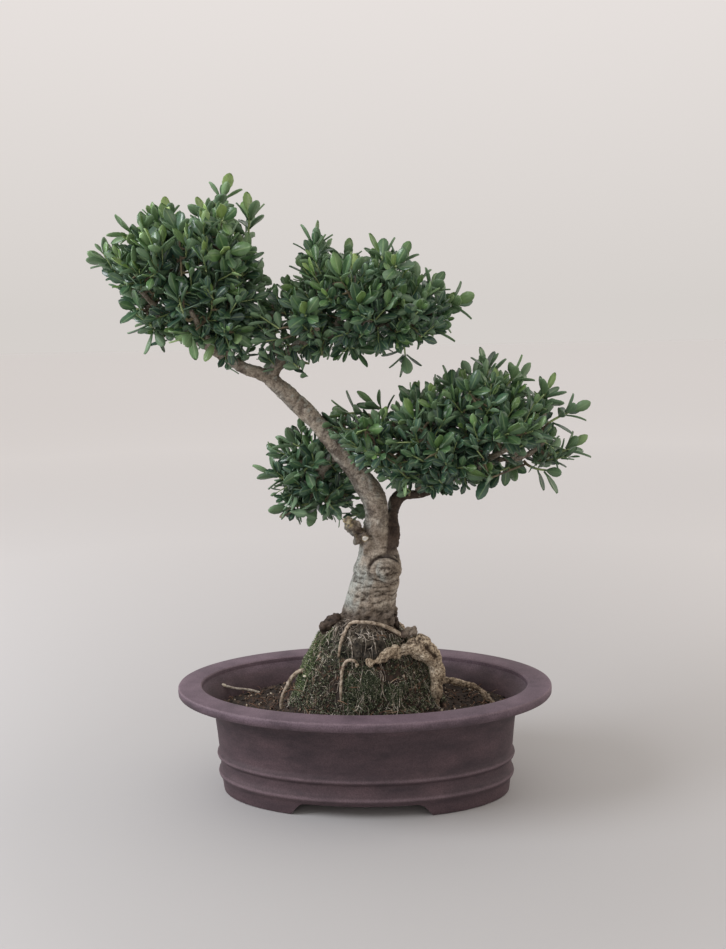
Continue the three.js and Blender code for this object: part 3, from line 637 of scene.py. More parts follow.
spots, normals = spots_on(ground, CRUMBS, rng, facing_up)
sizes = rng.uniform(*CRUMB_SIZES, CRUMBS) * MM
places = [tumbled(spot + normal * size * RAISED, size) for spot, normal, size in zip(spots, normals, sizes)]
crumb_mix = toned_material("bark and grit crumbs", Roughness=0.9, stops=[
    (0.0, "#181310"), (0.45, "#3a2d23"), (0.72, "#5d4939"), (0.88, "#7d6a58"), (1.0, "#c9bca8")])
crumbs = copies("crumbs", [crumb_shape], places, rng.uniform(0, 1, CRUMBS) ** MOSTLY_DARK)
finish(crumbs, "soil_crumbs", crumb_mix)

# %% [markdown]
# ## Round limbs
#
# Trunk, branches, roots, twigs and fibres are all round limbs that taper. A curve whose points each have a
# radius gives them: its handles are automatic, so it bends smoothly, and its bevel makes it round. The
# curve is then turned into a mesh.

# %% Limbs from stations of (x, y, z, radius)
def limbs(name, lines, roundness=3, detail=5):
    data = bpy.data.curves.new(name, "CURVE")
    data.dimensions = "3D"
    data.fill_mode = "FULL"
    data.bevel_depth = 1
    data.bevel_resolution = roundness
    data.resolution_u = detail
    data.use_fill_caps = True
    for stations in lines:
        spline = data.splines.new("BEZIER")
        spline.bezier_points.add(len(stations) - 1)
        for knot, station in zip(spline.bezier_points, stations):
            knot.co = metres(station)
            knot.radius = station[3] * MM
            knot.handle_left_type = "AUTO"
            knot.handle_right_type = "AUTO"
    select_only(put_in_scene(name, data))
    bpy.ops.object.convert(target="MESH")
    piece = bpy.context.object
    piece.data.shade_smooth()
    return piece


# %% Rusty fibres
FIBRES = 420
FIBRE_REACH = (5, 15)
FIBRE_RADII = (0.16, 0.4)
FIBRE_BEND = 0.16
FIBRE_RISE = 1.8
spots, normals = spots_on(ground, FIBRES, rng, facing_up)
lines = []
for spot, normal in zip(spots, normals):
    start = (Vector(spot) - POT_MIDDLE) / MM
    heading = Vector(unit(np.cross(normal, rng.normal(size=3))))
    reach = rng.uniform(*FIBRE_REACH)
    bend = Vector(rng.normal(size=3)) * reach * FIBRE_BEND
    lift = Vector(normal)
    thick = rng.uniform(*FIBRE_RADII)
    middle = start + heading * reach * 0.5 + bend + lift * FIBRE_RISE
    far = start + heading * reach + bend
    lines.append([(*(start - lift * 0.5), thick), (*middle, thick), (*(far - lift * 0.3), thick * 0.6)])
fibres = limbs("fibres", lines, roundness=0, detail=3)
fibre_mix = clouded_material("dead root fibre", 14, detail=2.0, Roughness=0.85, stops=[
    (0.35, "#4a3026"), (0.5, "#7a5844"), (0.62, "#9a8068"), (0.72, "#c9bba4")])
finish(fibres, "root_fibres", fibre_mix)

# %% [markdown]
# ## Bark
#
# Holly bark is thin and grey-brown, wrinkled across where the trunk has thickened. A pale film on its left
# side, turned to the window, is partly lichen and partly painted light. The foot of the trunk and the old
# wounds are darker, and two cuts and specks on the burr show bare wood. The carving of the trunk leaves four
# marks on its mesh, for the hollows, the pale film, the darker places and the bare wood, that the colours
# read; the mark for the hollows paints shade into the creases and cracks. The finest grain is 1.6 mm here,
# coarser than real, or it wouldn't show.

# %% Bark and root bark
def bark_material(name, colours, grain_mm, pit_colour, depth_mm, pitting=0.85):
    material, shader = new_material(name, Roughness=0.82, IOR=1.45)
    place = add_node(material, "TexCoord", "Object")
    patches = add_node(material, "TexNoise", inputs={
        "Vector": place, "Scale": per_mm(14), "Detail": 7.0, "Roughness": 0.7})
    tone_stops = zip((0.32, 0.46, 0.58, 0.7), colours)
    tone = add_node(material, "ValToRGB", inputs={"Fac": patches}, stops=tone_stops)
    # Four marks from the carving: the first paints shade into creases, cracks and dips, the second is a pale film,
    # partly lichen and partly painted light, the third darkens the bark, and the fourth shows bare wood.
    hollow, lichen, damp, bare = [
        add_node(material, "Attribute", "Fac", attribute_name=mark)
        for mark in ("hollow", "lichen", "damp", "bare")]
    surface = add_node(material, "Mix", data_type="RGBA", inputs={
        "Factor": lichen, "A": tone, "B": linear("#a5aba5")})
    grain = add_node(material, "TexNoise", inputs={
        "Vector": place, "Scale": per_mm(grain_mm), "Detail": 4.0, "Roughness": 0.6})
    pit_stops = [(0.4, pit_colour), (0.56, "#ffffff")]
    pits = add_node(material, "ValToRGB", stops=pit_stops, inputs={"Fac": grain})
    # Multiplying by the first mark paints shade into the creases and cracks.
    for share, colour in ((pitting, pits), (damp, linear("#7b6d67")), (hollow, linear("#5a4d42"))):
        surface = add_node(material, "Mix", data_type="RGBA", blend_type="MULTIPLY", inputs={
            "Factor": share, "A": surface, "B": colour})
    wood_stops = [(0.5, "#a8976b"), (0.95, "#e2dfd6")]
    bare_wood = add_node(material, "ValToRGB", stops=wood_stops, inputs={"Fac": bare})
    surface = add_node(material, "Mix", data_type="RGBA", inputs={
        "Factor": bare, "A": surface, "B": bare_wood})
    bump = add_node(material, "Bump", inputs={"Strength": 0.9, "Distance": depth_mm * MM, "Height": grain})
    set_inputs(shader, {"Base Color": surface, "Normal": bump})
    return material


bark = bark_material("holly bark", ["#7d7061", "#9b8f80", "#ada394", "#c2bbaf"], 1.6, "#7d7266", 0.8, 0.5)
root_bark = bark_material("dry root bark", ["#96846c", "#bfae95", "#d6c8b0", "#e6dbc8"], 1.7, "#786856", 1.4)
pale_root = bark_material("fine root bark", ["#8f7d6a", "#a99a87", "#bdb09e", "#cfc6b8"], 3, "#86786a", 0.5)
rootlet_bark = bark_material(
    "hair root bark", ["#5c5147", "#a0968a", "#d0c8bb", "#f0ebe2"], 3, "#b5aa9b", 0.3)
print("bark materials made")

# %% [markdown]
# ## Trunk and branches
#
# The stations follow the solid model's wood, apart from the dark limb on the right, which is slimmer. The
# trunk, its old pruning knobs and stub, and the main branches are joined and remeshed to one skin, as they
# grew, and smoothed so that the forks flow into each other. A rule then carves the skin along its normals:
# swellings, creases across the trunk, the oval callus over the scar of a lost branch, the rough burr on the
# left, and the knobbly foot.

# %% Stations of the wood
TRUNK = [
    (3, 2, 108, 34), (4, 1, 132, 32), (6, 0, 152, 28), (7, 0, 171, 24.5), (11, 0, 192, 22.5),
    (16, 0, 214, 21.5), (16, 0, 232, 17.5), (15, 0, 248, 12.5), (15.5, 0, 262, 10.5), (14, 0, 276, 11.5),
    (7, 0, 291, 11.5), (-3, 0, 305, 10), (-16, -1, 323, 9), (-30, -2, 342, 8.6), (-46, -3, 359, 8.3),
    (-63, -4, 376, 8), (-80, -5, 392, 7),
]
KNOBS = [
    (7, -9, 238, 7), (3, -10, 245, 6), (26, -15, 216, 12), (31, 2, 236, 4.6), (32, 2, 243, 4.8),
    (31, 2, 249, 4), (-3, -13, 249, 4), (4, -14, 247, 4), (-1, -13, 243, 3.6), (9, -14, 239, 3.8),
    (6, -15, 233, 3), (-7, -14, 256, 3), (-11, -9, 254, 2.8), (-2, -8, 257, 3), (-13, -11, 260, 2.4),
    (-14, -8, 172, 5), (24, -14, 172, 7), (10, -20, 171, 6), (-2, -20, 174, 5), (28, -4, 174, 6),
]
STUBS = [[(3, -8, 245, 6), (-4, -9, 252, 5.4), (-9, -9, 258, 4.6), (-12, -9, 262, 3.6)]]
MAIN_BRANCHES = [
    [(-70, -4, 383, 7), (-84, -6, 394, 6.4), (-98, -7, 399, 5.6), (-116, -8, 410, 5), (-135, -9, 422, 4.6),
     (-153, -11, 436, 4), (-176, -12, 450, 3.2), (-200, -12, 470, 2.2)],
    [(-78, -5, 390, 6), (-68, -5, 405, 5.4), (-50, -3, 420, 4.8), (-22, 0, 429, 4.2), (8, 0, 433, 3.6),
     (40, 1, 438, 3), (72, 2, 446, 2.2)],
    [(22, 4, 258, 7), (29, 10, 268, 7), (34, 13, 277, 6.6), (44, 14, 277, 6), (56, 15, 277, 4.6),
     (76, 16, 288, 4.2), (104, 13, 303, 3.8), (126, 9, 311, 3.4), (148, 6, 314, 3), (172, 6, 330, 2.2)],
    [(-14, 2, 321, 6), (-28, 14, 312, 5.4), (-37, 20, 298, 4.8), (-44, 23, 284, 3.8), (-52, 26, 272, 2.6)],
]
DARK_LIMB = [
    (30, 4, 234, 4.5), (31.5, 4, 246, 5), (31, 8, 262, 5.4), (33, 12, 274, 6.2), (38, 13, 279, 5.8),
    (46, 14, 279.5, 4.2), (58, 15, 280, 3.4), (76, 16, 288, 3.5), (104, 13, 303, 3.4), (126, 9, 311, 3.1),
    (148, 6, 314, 2.8), (172, 6, 330, 2),
]
SIDE_BRANCHES = [
    [(-114, -8, 409, 4), (-118, -12, 438, 3.6), (-112, -14, 474, 3), (-108, -12, 512, 2)],
    [(-134, -9, 421, 4), (-146, -10, 452, 3.4), (-153, -10, 486, 2.8), (-156, -8, 514, 2)],
    [(-126, -9, 416, 3.6), (-132, -30, 434, 3), (-138, -46, 452, 2)],
    [(-124, -8, 415, 3.6), (-130, 16, 434, 3), (-136, 38, 456, 2)],
    [(-168, -11, 444, 3), (-174, -30, 458, 2.4), (-184, -40, 472, 1.8)],
    [(-166, -11, 444, 3), (-170, 14, 456, 2.4), (-178, 34, 470, 1.8)],
    [(-66, -5, 407, 4), (-74, -4, 428, 3.2), (-74, -4, 456, 2.4)],
    [(-48, -3, 421, 4), (-38, -4, 450, 3.2), (-32, -4, 484, 2.2)],
    [(-20, 0, 429, 3.6), (-8, -2, 452, 3), (4, -2, 480, 2.2)],
    [(10, 0, 433, 3.2), (28, -2, 452, 2.8), (42, -2, 476, 2)],
    [(-34, -2, 426, 3.6), (-32, -24, 432, 3), (-30, -42, 436, 2)],
    [(-2, 0, 432, 3.4), (8, -22, 436, 2.8), (16, -40, 440, 2)],
    [(-30, -1, 427, 3.6), (-26, 20, 436, 3), (-22, 38, 442, 2)],
    [(4, 0, 433, 3.4), (16, 20, 438, 2.8), (26, 38, 442, 2)],
    [(54, 15, 277, 4.2), (56, 18, 300, 3.8), (44, 22, 328, 3.2), (24, 22, 342, 2.6), (2, 22, 346, 2)],
    [(55, 17, 296, 3.6), (66, 10, 322, 3), (70, 6, 350, 2.2)],
    [(76, 16, 288, 3.8), (92, 12, 322, 3.2), (104, 10, 360, 2.4)],
    [(104, 13, 303, 3.4), (124, 10, 334, 3), (138, 8, 364, 2.2)],
    [(140, 7, 313, 3), (158, 8, 336, 2.4), (172, 8, 356, 1.8)],
    [(72, 16, 286, 3.6), (76, -12, 304, 3), (84, -34, 318, 2)],
    [(112, 12, 306, 3.4), (122, -12, 318, 2.8), (132, -36, 326, 2)],
    [(68, 15, 283, 3.6), (72, 34, 306, 3), (80, 50, 322, 2)],
    [(108, 13, 304, 3.4), (120, 34, 320, 2.8), (132, 46, 330, 2)],
    [(-34, 18, 304, 4), (-50, 22, 308, 3.2), (-64, 22, 314, 2.2)],
    [(-42, 22, 288, 3.6), (-28, 28, 280, 3), (-14, 32, 276, 2.2)],
    [(-36, 20, 300, 3.6), (-36, 38, 300, 3), (-36, 50, 298, 2)],
]
THICK_ROOTS = [
    [(42, -15, 147, 5), (51, -16, 143, 10.5), (60, -16, 137, 10), (67, -16, 128, 7.6),
     (69.5, -16.5, 117, 6.6), (69, -17, 106, 6), (67.5, -17, 96, 5.6), (67.5, -17, 90, 4.6),
     (68.5, -17, 80, 1.3)],
    [(66, 4, 104, 3.6), (80, 8, 102, 3.4), (96, 9, 98, 3.2), (106, 8, 95, 3), (114, 6, 88, 2.8),
     (126, 4, 76, 2.4)],
    [(20, 18, 158, 9), (34, 30, 140, 8), (44, 38, 116, 7), (50, 44, 92, 5), (54, 48, 72, 4)],
    [(-8, 16, 160, 9), (-24, 28, 142, 8), (-38, 36, 116, 6), (-46, 40, 90, 4.6), (-52, 44, 70, 3.6)],
    [(14, -33, 134, 2), (24, -30, 138, 2.6), (34, -26, 140, 3.4), (44, -21, 142, 5)],
]
ROOT_KNOBS = [
    (54, -16, 143, 11), (-3, -37.5, 133, 2.4), (9, -38, 135, 4.2), (16, -35, 136, 2.8),
    (21, -34, 139, 5), (27, -32, 143, 4.2), (32, -29, 145, 4.4), (33, -28, 138, 4.4), (41, -22, 142, 5.5),
]
DARK_KNOBS = [
    (-28, -8, 163, 7), (-34, -8, 159, 6), (-23, -10, 167, 5), (30, -10, 166, 4.5), (33, -8, 161, 4),
    (44, -17, 158, 3.2), (49, -17, 160, 2.6),
]
GREY_STUB = [(24, -16, 160, 2.4), (32, -18, 157, 2.6), (42, -18, 156, 3), (51, -17, 156.5, 3)]
CRACK = ((60, 145), (68, 135))
FINE_ROOTS = [
    [(38, -19, 154, 2), (30, -21, 160, 1.9), (22, -25, 165, 1.8), (9, -29, 169.5, 1.7),
     (0.5, -28.5, 170, 1.6), (-8, -25.5, 168, 1.6), (-13, -28, 162, 1.5), (-17, -32, 153.5, 1.4),
     (-19, -34, 144, 1.3), (-20, -29, 136, 1.1)],
    [(-3, -35, 134, 1.4), (-6, -39, 137, 1.5), (-10, -39, 137.4, 1.5), (-13, -38, 135, 1.5),
     (-16, -38, 129, 1.4), (-17, -41, 121, 1.3), (-17.6, -44.5, 110, 1.2), (-17.6, -44, 101, 0.9)],
    [(-48, -10, 116, 2.2), (-56, -13, 119, 2), (-66, -13, 112, 2), (-70, -13, 105, 1.8), (-76, -13, 92, 1.7),
     (-77, -12, 74, 1.5)],
]
print("limbs:", 1 + sum(map(len, (STUBS, MAIN_BRANCHES, SIDE_BRANCHES, THICK_ROOTS, FINE_ROOTS))))


# %% Trunk
def knob(place_and_radius):
    bpy.ops.mesh.primitive_ico_sphere_add(
        subdivisions=3, radius=place_and_radius[3] * MM, location=metres(place_and_radius))
    lump = bpy.context.object
    lump.scale = (1, 0.9, 1.1)
    return lump


def grown_together(pieces, voxel_mm, smoothing):
    select_only(*pieces)
    bpy.ops.object.join()
    piece = bpy.context.object
    settle(piece)
    even_skin(piece, voxel_mm, smoothing)
    return piece


def near(value, middle, width):
    return np.exp(-((value - middle) / width) ** 2)


def fade(value, none, full):
    share = np.clip((value - none) / (full - none), 0, 1)
    return share * share * (3 - 2 * share)


SCAR = (24, 216)
SCAR_SIZE = (14.5, 11.5)
BURR = (0, -10, 247)
BURR_REACH = 13
CUT_END = (-10, 260)
WHITE_SCAR = (5.5, 244.5)
WRINKLED_HEIGHT = 197
WRINKLE_BAND = 16
LEAN_BEGINS = (284, 300)
UPPER_TRUNK = (250, 300)
NECK = (236, 266)
SCAR_TOP = (214, 226)
FOOT_TOP = (184, 172)


def wrinkles(places):
    x, y, z = places.T
    upright = creased(uneven(places, 7, (0.28, 0.28, 1.15)))
    turned_places = np.stack((0.7 * (x + z), y, 0.7 * (z - x)), axis=1)
    leaning = creased(uneven(turned_places, 7, (0.3, 0.3, 1.3)))
    lean = fade(z, *LEAN_BEGINS)
    return upright * (1 - lean) + leaning * lean


def bark_relief(places, normals):
    x, y, z = places.T
    facing = fade(-normals[:, 1], -0.1, 0.3)
    from_scar = np.hypot((x - SCAR[0]) / SCAR_SIZE[0], (z - SCAR[1]) / SCAR_SIZE[1])
    on_trunk = fade(z, 300, 270)
    callus = facing * on_trunk * fade(from_scar, 1.15, 0.85)
    burr = near(from_point(places, BURR), 0, BURR_REACH)
    foot = fade(z, *FOOT_TOP)
    rough = uneven(places, 6)
    creases = wrinkles(places)
    depth = 0.8 + 0.8 * near(z, WRINKLED_HEIGHT, WRINKLE_BAND) * facing
    rim = near(from_scar, 1.04, 0.11) * facing * on_trunk * (0.35 + 0.65 * fade(z, 212, 222))
    ring = near(from_scar, 0.62, 0.08) * callus * 0.6
    cracks = creased(uneven(places, 6, octaves=3), 7) * callus * fade(from_scar, 0.8, 0.3)
    heights = 1.5 * uneven(places, 26) * fade(z, 600, 200) + 0.5 * rough - depth * creases * (1 - callus)
    heights += 1.5 * callus - 2.2 * rim - 1.0 * ring - 1.4 * cracks
    heights += rough * (3.4 * burr + 3.0 * foot)
    # Painted shade: the creases, the rim and ring round the scar, its cracks and the dips of the burr and the foot
    # are darkened.
    hollow = 0.75 * creases * depth + rim + 0.7 * ring + cracks + np.clip(-rough, 0, 1) * (burr + foot)
    upper = fade(z, *UPPER_TRUNK)
    # A pale film on the faces turned to the left, towards the window: partly lichen and partly painted light.
    lichen_and_light_film = fade(-normals[:, 0] + 0.5 * uneven(places, 18), 0.1, 0.9) * (1 - foot) * (1 - 0.55 * upper)
    right_limb = fade(x - 0.1 * (z - 240), 23.5, 26.5) * fade(z, 226, 234) * fade(x, 78, 50)
    # Darker bark at the foot, on the burr, on the limb on the right, along the scar's upper rim and at the neck.
    damp = 0.75 * foot + 0.8 * burr + right_limb
    damp = damp + 0.5 * near(from_scar, 1.1, 0.15) * facing * fade(z, *SCAR_TOP)
    damp += fade(z, *NECK) * (0.05 + 0.6 * fade(uneven(places, 11), 0, 0.45))
    speckled = fade(uneven(places, 5), 0.12, 0.4) * upper * fade(normals[:, 2], -0.2, 0.4)
    patchy = fade(uneven(places, 3), -0.15, 0.25)
    bare = 0.6 * patchy * fade(np.hypot(x - CUT_END[0], z - CUT_END[1]), 8, 4) * fade(-y, 2, 6)
    bare += 0.5 * fade(uneven(places, 2.4), 0.3, 0.5) * near(from_point(places, BURR), 0, 9)
    bare += fade(np.hypot(x - WHITE_SCAR[0], z - WHITE_SCAR[1]), 3.2, 2.2) * facing
    lichen = 0.85 * lichen_and_light_film + 0.6 * speckled
    return heights, {"hollow": hollow, "lichen": lichen, "damp": damp - speckled, "bare": bare}


upper_limbs = [*MAIN_BRANCHES[:2], DARK_LIMB, MAIN_BRANCHES[3], *STUBS]
skins = [*map(knob, KNOBS), limbs("trunk", [TRUNK], roundness=7), limbs("mains", upper_limbs)]
trunk = grown_together(skins, voxel_mm=1.2, smoothing=3)
carve(trunk, bark_relief)
finish(trunk, "trunk_and_main_branches", bark, ["trunk"])

side_branches = limbs("side_branches", SIDE_BRANCHES, roundness=2)
roughen(side_branches, "branch swelling", size_mm=9, height_mm=1.2)
finish(side_branches, "side_branches", bark)


# %% Roots
def root_relief(places, normals):
    rough = uneven(places, 5)
    lumps = uneven(places, 12)
    cracks = creased(uneven(places, 9, octaves=3), 14)
    start, end = np.array(CRACK, float)
    spots = places[:, [0, 2]]
    share = np.clip((spots - start) @ (end - start) / np.sum((end - start) ** 2), 0, 1)
    off_crack = np.linalg.norm(start + share[:, None] * (end - start) - spots, axis=1)
    cracks += 2 * near(off_crack + 0.6 * rough, 0, 1.3) * (normals[:, 1] < 0.3)
    low = fade(places[:, 2], 106, 90)
    heights = 1.3 * lumps + 0.9 * rough - 1.1 * cracks
    # The cracks and dips get painted shade, and the roots are darker towards the bottom.
    return heights, {"hollow": 0.8 * cracks + np.clip(-0.7 * rough, 0, 1), "damp": 0.4 * low}


def dark_relief(places, normals):
    heights, marks = root_relief(places, normals)
    return 1.4 * heights, {**marks, "damp": 1.1 - 0.8 * fade(places[:, 0], 36, 44)}


skins = [*map(knob, DARK_KNOBS), limbs("grey_stub", [GREY_STUB])]
old_knobs = grown_together(skins, voxel_mm=1.1, smoothing=1)
carve(old_knobs, dark_relief)
finish(old_knobs, "old_root_knobs", bark)

skins = [*map(knob, ROOT_KNOBS), limbs("roots", THICK_ROOTS, roundness=4)]
roots = grown_together(skins, voxel_mm=1.1, smoothing=4)
carve(roots, root_relief)
finish(roots, "surface_roots", root_bark)

fine_roots = limbs("fine_roots", FINE_ROOTS, roundness=2)
roughen(fine_roots, "fine root swelling", size_mm=6, height_mm=0.9)
finish(fine_roots, "fine_roots", pale_root)

# %% [markdown]
# ## Root ball
#
# Where the trunk meets the mound, a ball of matted roots and old moss wraps its foot. It is dark, lumpy and
# full of pale root ends. A ball of the right size is pressed oval and carved by noise, and hundreds of thin
# roots are then laid over it and over the mound. Each one wanders over the ground, which is found by
# dropping a plumb line on it at every step.

# %% Root ball
BALL = {"place": (1, -2, 139), "size": (35, 35, 34)}
bpy.ops.mesh.primitive_ico_sphere_add(subdivisions=5, radius=1, location=metres(BALL["place"]))
ball = bpy.context.object
ball.scale = [size * MM for size in BALL["size"]]
ball = grown_together([ball], voxel_mm=1.4, smoothing=1)


def ball_relief(places, normals):
    rough = uneven(places, 6)
    heights = 2.6 * uneven(places, 15) + 2.2 * rough
    # The dips of the ball get painted shade.
    return heights, {"hollow": np.clip(-1.5 * rough, 0, 1)}


carve(ball, ball_relief)
rootball_mix = bark_material(
    "matted roots and peat", ["#292620", "#423c32", "#5d564a", "#857d6f"], 2.6, "#5a5449", 2.0)
finish(ball, "root_ball", rootball_mix)

# %% Rootlets over the mound
PLUMB_FROM = 400
ROOTLETS = 680
ROOTLET_LIFT = (0.3, 2.4)
ROOTLET_STEPS = (3, 8)
ROOTLET_STRIDE = (2, 4)
WANDER = 0.9
MOUND_MIDDLE = (2, -2)
MOUND_REACH = (74, 50)
THINNEST_ROOTLET = 0.17
UP_TO_THICKER = 0.4
solid_moss = [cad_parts[node] for node in ("moss_left", "moss_front")]
depsgraph = bpy.context.evaluated_depsgraph_get()
surfaces = [BVHTree.FromObject(piece, depsgraph) for piece in (ground, ball, *solid_moss)]


def ground_height(x, y):
    top = metres((x, y, PLUMB_FROM))
    drops = [surface.ray_cast(top, Vector((0, 0, -1)))[0] for surface in surfaces]
    return max((drop.z / MM for drop in drops if drop), default=SOIL_LEVEL)


def rootlet(start, heading, steps, stride, thick, rng):
    x, y = start
    line = []
    lift = rng.uniform(*ROOTLET_LIFT)
    for k in range(steps):
        line.append((x, y, ground_height(x, y) + lift, thick * (1 - 0.5 * k / steps)))
        heading += rng.normal(0, WANDER)
        x, y = x + stride * math.cos(heading), y + stride * 0.75 * math.sin(heading)
    return line


lines = []
for _ in range(ROOTLETS):
    angle = rng.uniform(0, 2 * math.pi)
    away = rng.uniform(0.3, 1)
    start = (MOUND_MIDDLE[0] + MOUND_REACH[0] * away * math.cos(angle),
             MOUND_MIDDLE[1] + MOUND_REACH[1] * away * math.sin(angle))
    steps = rng.integers(*ROOTLET_STEPS)
    thick = THINNEST_ROOTLET + UP_TO_THICKER * rng.uniform() ** 3
    heading = angle + rng.normal(0, 2)
    lines.append(rootlet(start, heading, steps, rng.uniform(*ROOTLET_STRIDE), thick, rng))
rootlets = limbs("rootlets", lines, roundness=0, detail=3)
finish(rootlets, "rootlets", rootlet_bark)

# %% [markdown]
# ## What fell on the soil
#
# A dry twig with one white broken end leans on the soil at the left, and a pale chip of bark and one fallen,
# yellowing leaf lie on the mound. The leaf is added with the other leaves, further down.

# %% Dry twig and chip
dry_twig = limbs("dry twig", [
    [(-104, 28, 83, 1.1), (-114, 27, 86, 1.3), (-126, 25, 88, 1.2), (-137, 24, 91, 1.1)]], 2)
finish(dry_twig, "dry_twig", rootlet_bark)

bleached = clouded_material(
    "bleached wood", 2, stops=[(0.35, "#b7aa92"), (0.65, "#ddd6c8")], Roughness=0.8)
broken_end = limbs("broken end", [[(-136, 24, 90.8, 1.5), (-139, 23.8, 91.6, 2), (-142, 23.6, 92, 1.5)]], 2)
roughen(broken_end, "splinters", size_mm=2, height_mm=0.8)
finish(broken_end, "broken_twig_end", bleached)

CHIP_SPOT = (-52, -20)
CHIP_SIZE = (2.6, 1.8, 1.2)
CHIP_LIFT = 0.6
bpy.ops.mesh.primitive_ico_sphere_add(
    subdivisions=2, radius=1, location=metres((*CHIP_SPOT, ground_height(*CHIP_SPOT) + CHIP_LIFT)))
chip = bpy.context.object
chip.scale = [size * MM for size in CHIP_SIZE]
roughen(chip, "chip", size_mm=1.4, height_mm=1.2)
finish(chip, "bark_chip", bleached)

# %% [markdown]
# ## Moss
#
# Moss is a mat of tiny upright shoots, bright green where the light reaches it and nearly black inside. The
# solid cushions give the mat, roughened by noise. Its shoots are slim three-sided points, modelled once
# from a cone, and planted by the thousand all over the mats and in patches on the mound between them.

# %% Moss mats
def moss_material(name, colours):
    return toned_material(name, zip((0.0, 0.5, 0.85, 1.0), colours), Roughness=0.85)


def mat_material(name, colours):
    stops = zip((0.35, 0.5, 0.68), colours)
    return clouded_material(name, 4, stops, detail=5.0, harshness=0.7, Roughness=0.95)


MOSS = {
    "moss_left": {"slot": "moss_bright", "shoots": 9000, "mat": ["#1c2117", "#333c29", "#525c43"],
                  "tips": ["#1d2318", "#506039", "#8c9868", "#dcdec0"]},
    "moss_front": {"slot": "moss_dark", "shoots": 7000, "mat": ["#1b1d17", "#31362a", "#4c5341"],
                   "tips": ["#191d15", "#495439", "#848c6c", "#dcdcc8"]},
}
bpy.ops.mesh.primitive_cone_add(vertices=3, radius1=0.22, radius2=0, depth=1, location=(0, 0, 0.45))
shoot = bpy.context.object
edit(shoot)
pick(shoot, lambda co: co.z > 0.3)
bpy.ops.transform.translate(value=(0.25, 0, 0))
leave_edit()
settle(shoot)
moss_shoot = shape_of(shoot)

# %% Planting moss
MOSS_UPRIGHT = 0.5
MOSS_ASTRAY = 0.45
MOSS_BREADTH = 0.8
MOSS_TONES = (1.1, 1.5)
ON_MATS = (1.2, 3.2)
ON_SOIL = {"count": 22000, "height_mm": (1, 3.4)}
ON_ROOT_BALL = {"count": 5000, "height_mm": (0.9, 2.8)}


def plant_moss(name, ground_piece, keep, slot, material, count, height_mm):
    spots, normals = spots_on(ground_piece, count, rng, keep)
    places = []
    for spot, normal in zip(spots, normals):
        z = unit(normal + np.array((0, 0, MOSS_UPRIGHT)) + MOSS_ASTRAY * rng.normal(size=3))
        x = unit(np.cross(z, rng.normal(size=3)))
        tall = rng.uniform(*height_mm) * MM
        y = np.cross(z, x)
        places.append(placing(spot, x * tall * MOSS_BREADTH, y * tall * MOSS_BREADTH, z * tall))
    finish(copies(name, [moss_shoot], places, rng.beta(*MOSS_TONES, count)), name, material)


def anywhere(centres, normals):
    return np.ones(len(centres), bool)


for node, look in MOSS.items():
    mat = solid_copy(node)
    even_skin(mat, voxel_mm=1.3, smoothing=4)
    roughen(mat, node + " hummocks", size_mm=7, height_mm=2.6)
    mat.data.shade_smooth()
    finish(mat, node + "_mat", mat_material(node + " mat", look["mat"]), [node])
    shoots = moss_material(node + " shoots", look["tips"])
    plant_moss(node + "_shoots", mat, anywhere, look["slot"], shoots, look["shoots"], ON_MATS)


# %% Moss creeping over the mound
def on_the_mound(centres, normals):
    x, y, z = ((centres - np.array(POT_MIDDLE)) / MM).T
    patchy = np.sin(0.11 * x + 0.07 * z) + np.sin(0.17 * z - 0.09 * y + 1) + 0.6 * np.sin(0.31 * x + 0.2 * y)
    return (z > SOIL_LEVEL + 6) & (patchy + 1.2 * (x < -22) + 0.8 * (z < 128) * (y < 0) > 0.1)


creeping = moss_material("creeping moss shoots", ["#1b1f18", "#525c42", "#8f9577", "#e2e2d0"])
plant_moss("moss_creeping", ground, on_the_mound, "moss_dark", creeping, **ON_SOIL)
plant_moss("moss_on_root_ball", ball, on_the_mound, "moss_dark", creeping, **ON_ROOT_BALL)

# %% [markdown]
# ## One leaf
#
# A leaf of this holly is a small spoon: a short stalk, widest past its middle, a rounded tip, a groove along
# the midrib, and edges that curl up a little. It starts as a grid of two squares by six. Each row of the
# grid is moved and narrowed to the outline, the middle line is pressed down, and the blade is given its
# thickness. Some leaves stay flat and others droop at the tip, so the same steps make three of them. A grid
# of two by four makes plainer leaves, for the thousands that fill the pads.

# %% Leaf shapes, one unit long and one unit wide
LEAF_ROWS = [(0, 0.07), (0.12, 0.15), (0.3, 0.62), (0.53, 0.97), (0.74, 0.96), (0.91, 0.6), (1, 0.14)]
SMALL_LEAF_ROWS = [(0, 0.08), (0.24, 0.42), (0.52, 0.98), (0.82, 0.85), (1, 0.16)]
LEAF_ARCHES = (0.04, 0.09, 0.17)
MIDRIB_DEPTH = 0.05
BLADE_THICKNESS = 0.028


def leaf_model(rows, arch):
    steps = len(rows) - 1
    bpy.ops.mesh.primitive_grid_add(x_subdivisions=2, y_subdivisions=steps, size=1, location=(0, 0.5, 0))
    leaf = bpy.context.object
    edit(leaf)
    for row, (along, width) in reversed(list(enumerate(rows))):
        grid_place = row / steps - 0.5
        pick(leaf, lambda co: abs(co.y - grid_place) < 1e-4 and abs(co.z) < 1e-6)
        bpy.ops.transform.resize(value=(width, 1, 1), center_override=(0, 0, 0))
        bpy.ops.transform.translate(value=(0, along - row / steps, 0.001 - arch * along * along))
    pick(leaf, lambda co: abs(co.x) < 1e-4)
    bpy.ops.transform.translate(value=(0, 0, -MIDRIB_DEPTH))
    leave_edit()
    settle(leaf)
    modify(leaf, "SOLIDIFY", thickness=BLADE_THICKNESS, offset=-1)
    blade = shape_of(leaf)
    half = len(blade["points"]) // 2
    blade["under"][half:] = 1
    return blade


leaf_shapes = [leaf_model(LEAF_ROWS, arch) for arch in LEAF_ARCHES]
small_leaf_shapes = [leaf_model(SMALL_LEAF_ROWS, arch) for arch in LEAF_ARCHES]
print("leaves of", len(leaf_shapes[0]["faces"]), "and", len(small_leaf_shapes[0]["faces"]), "faces")
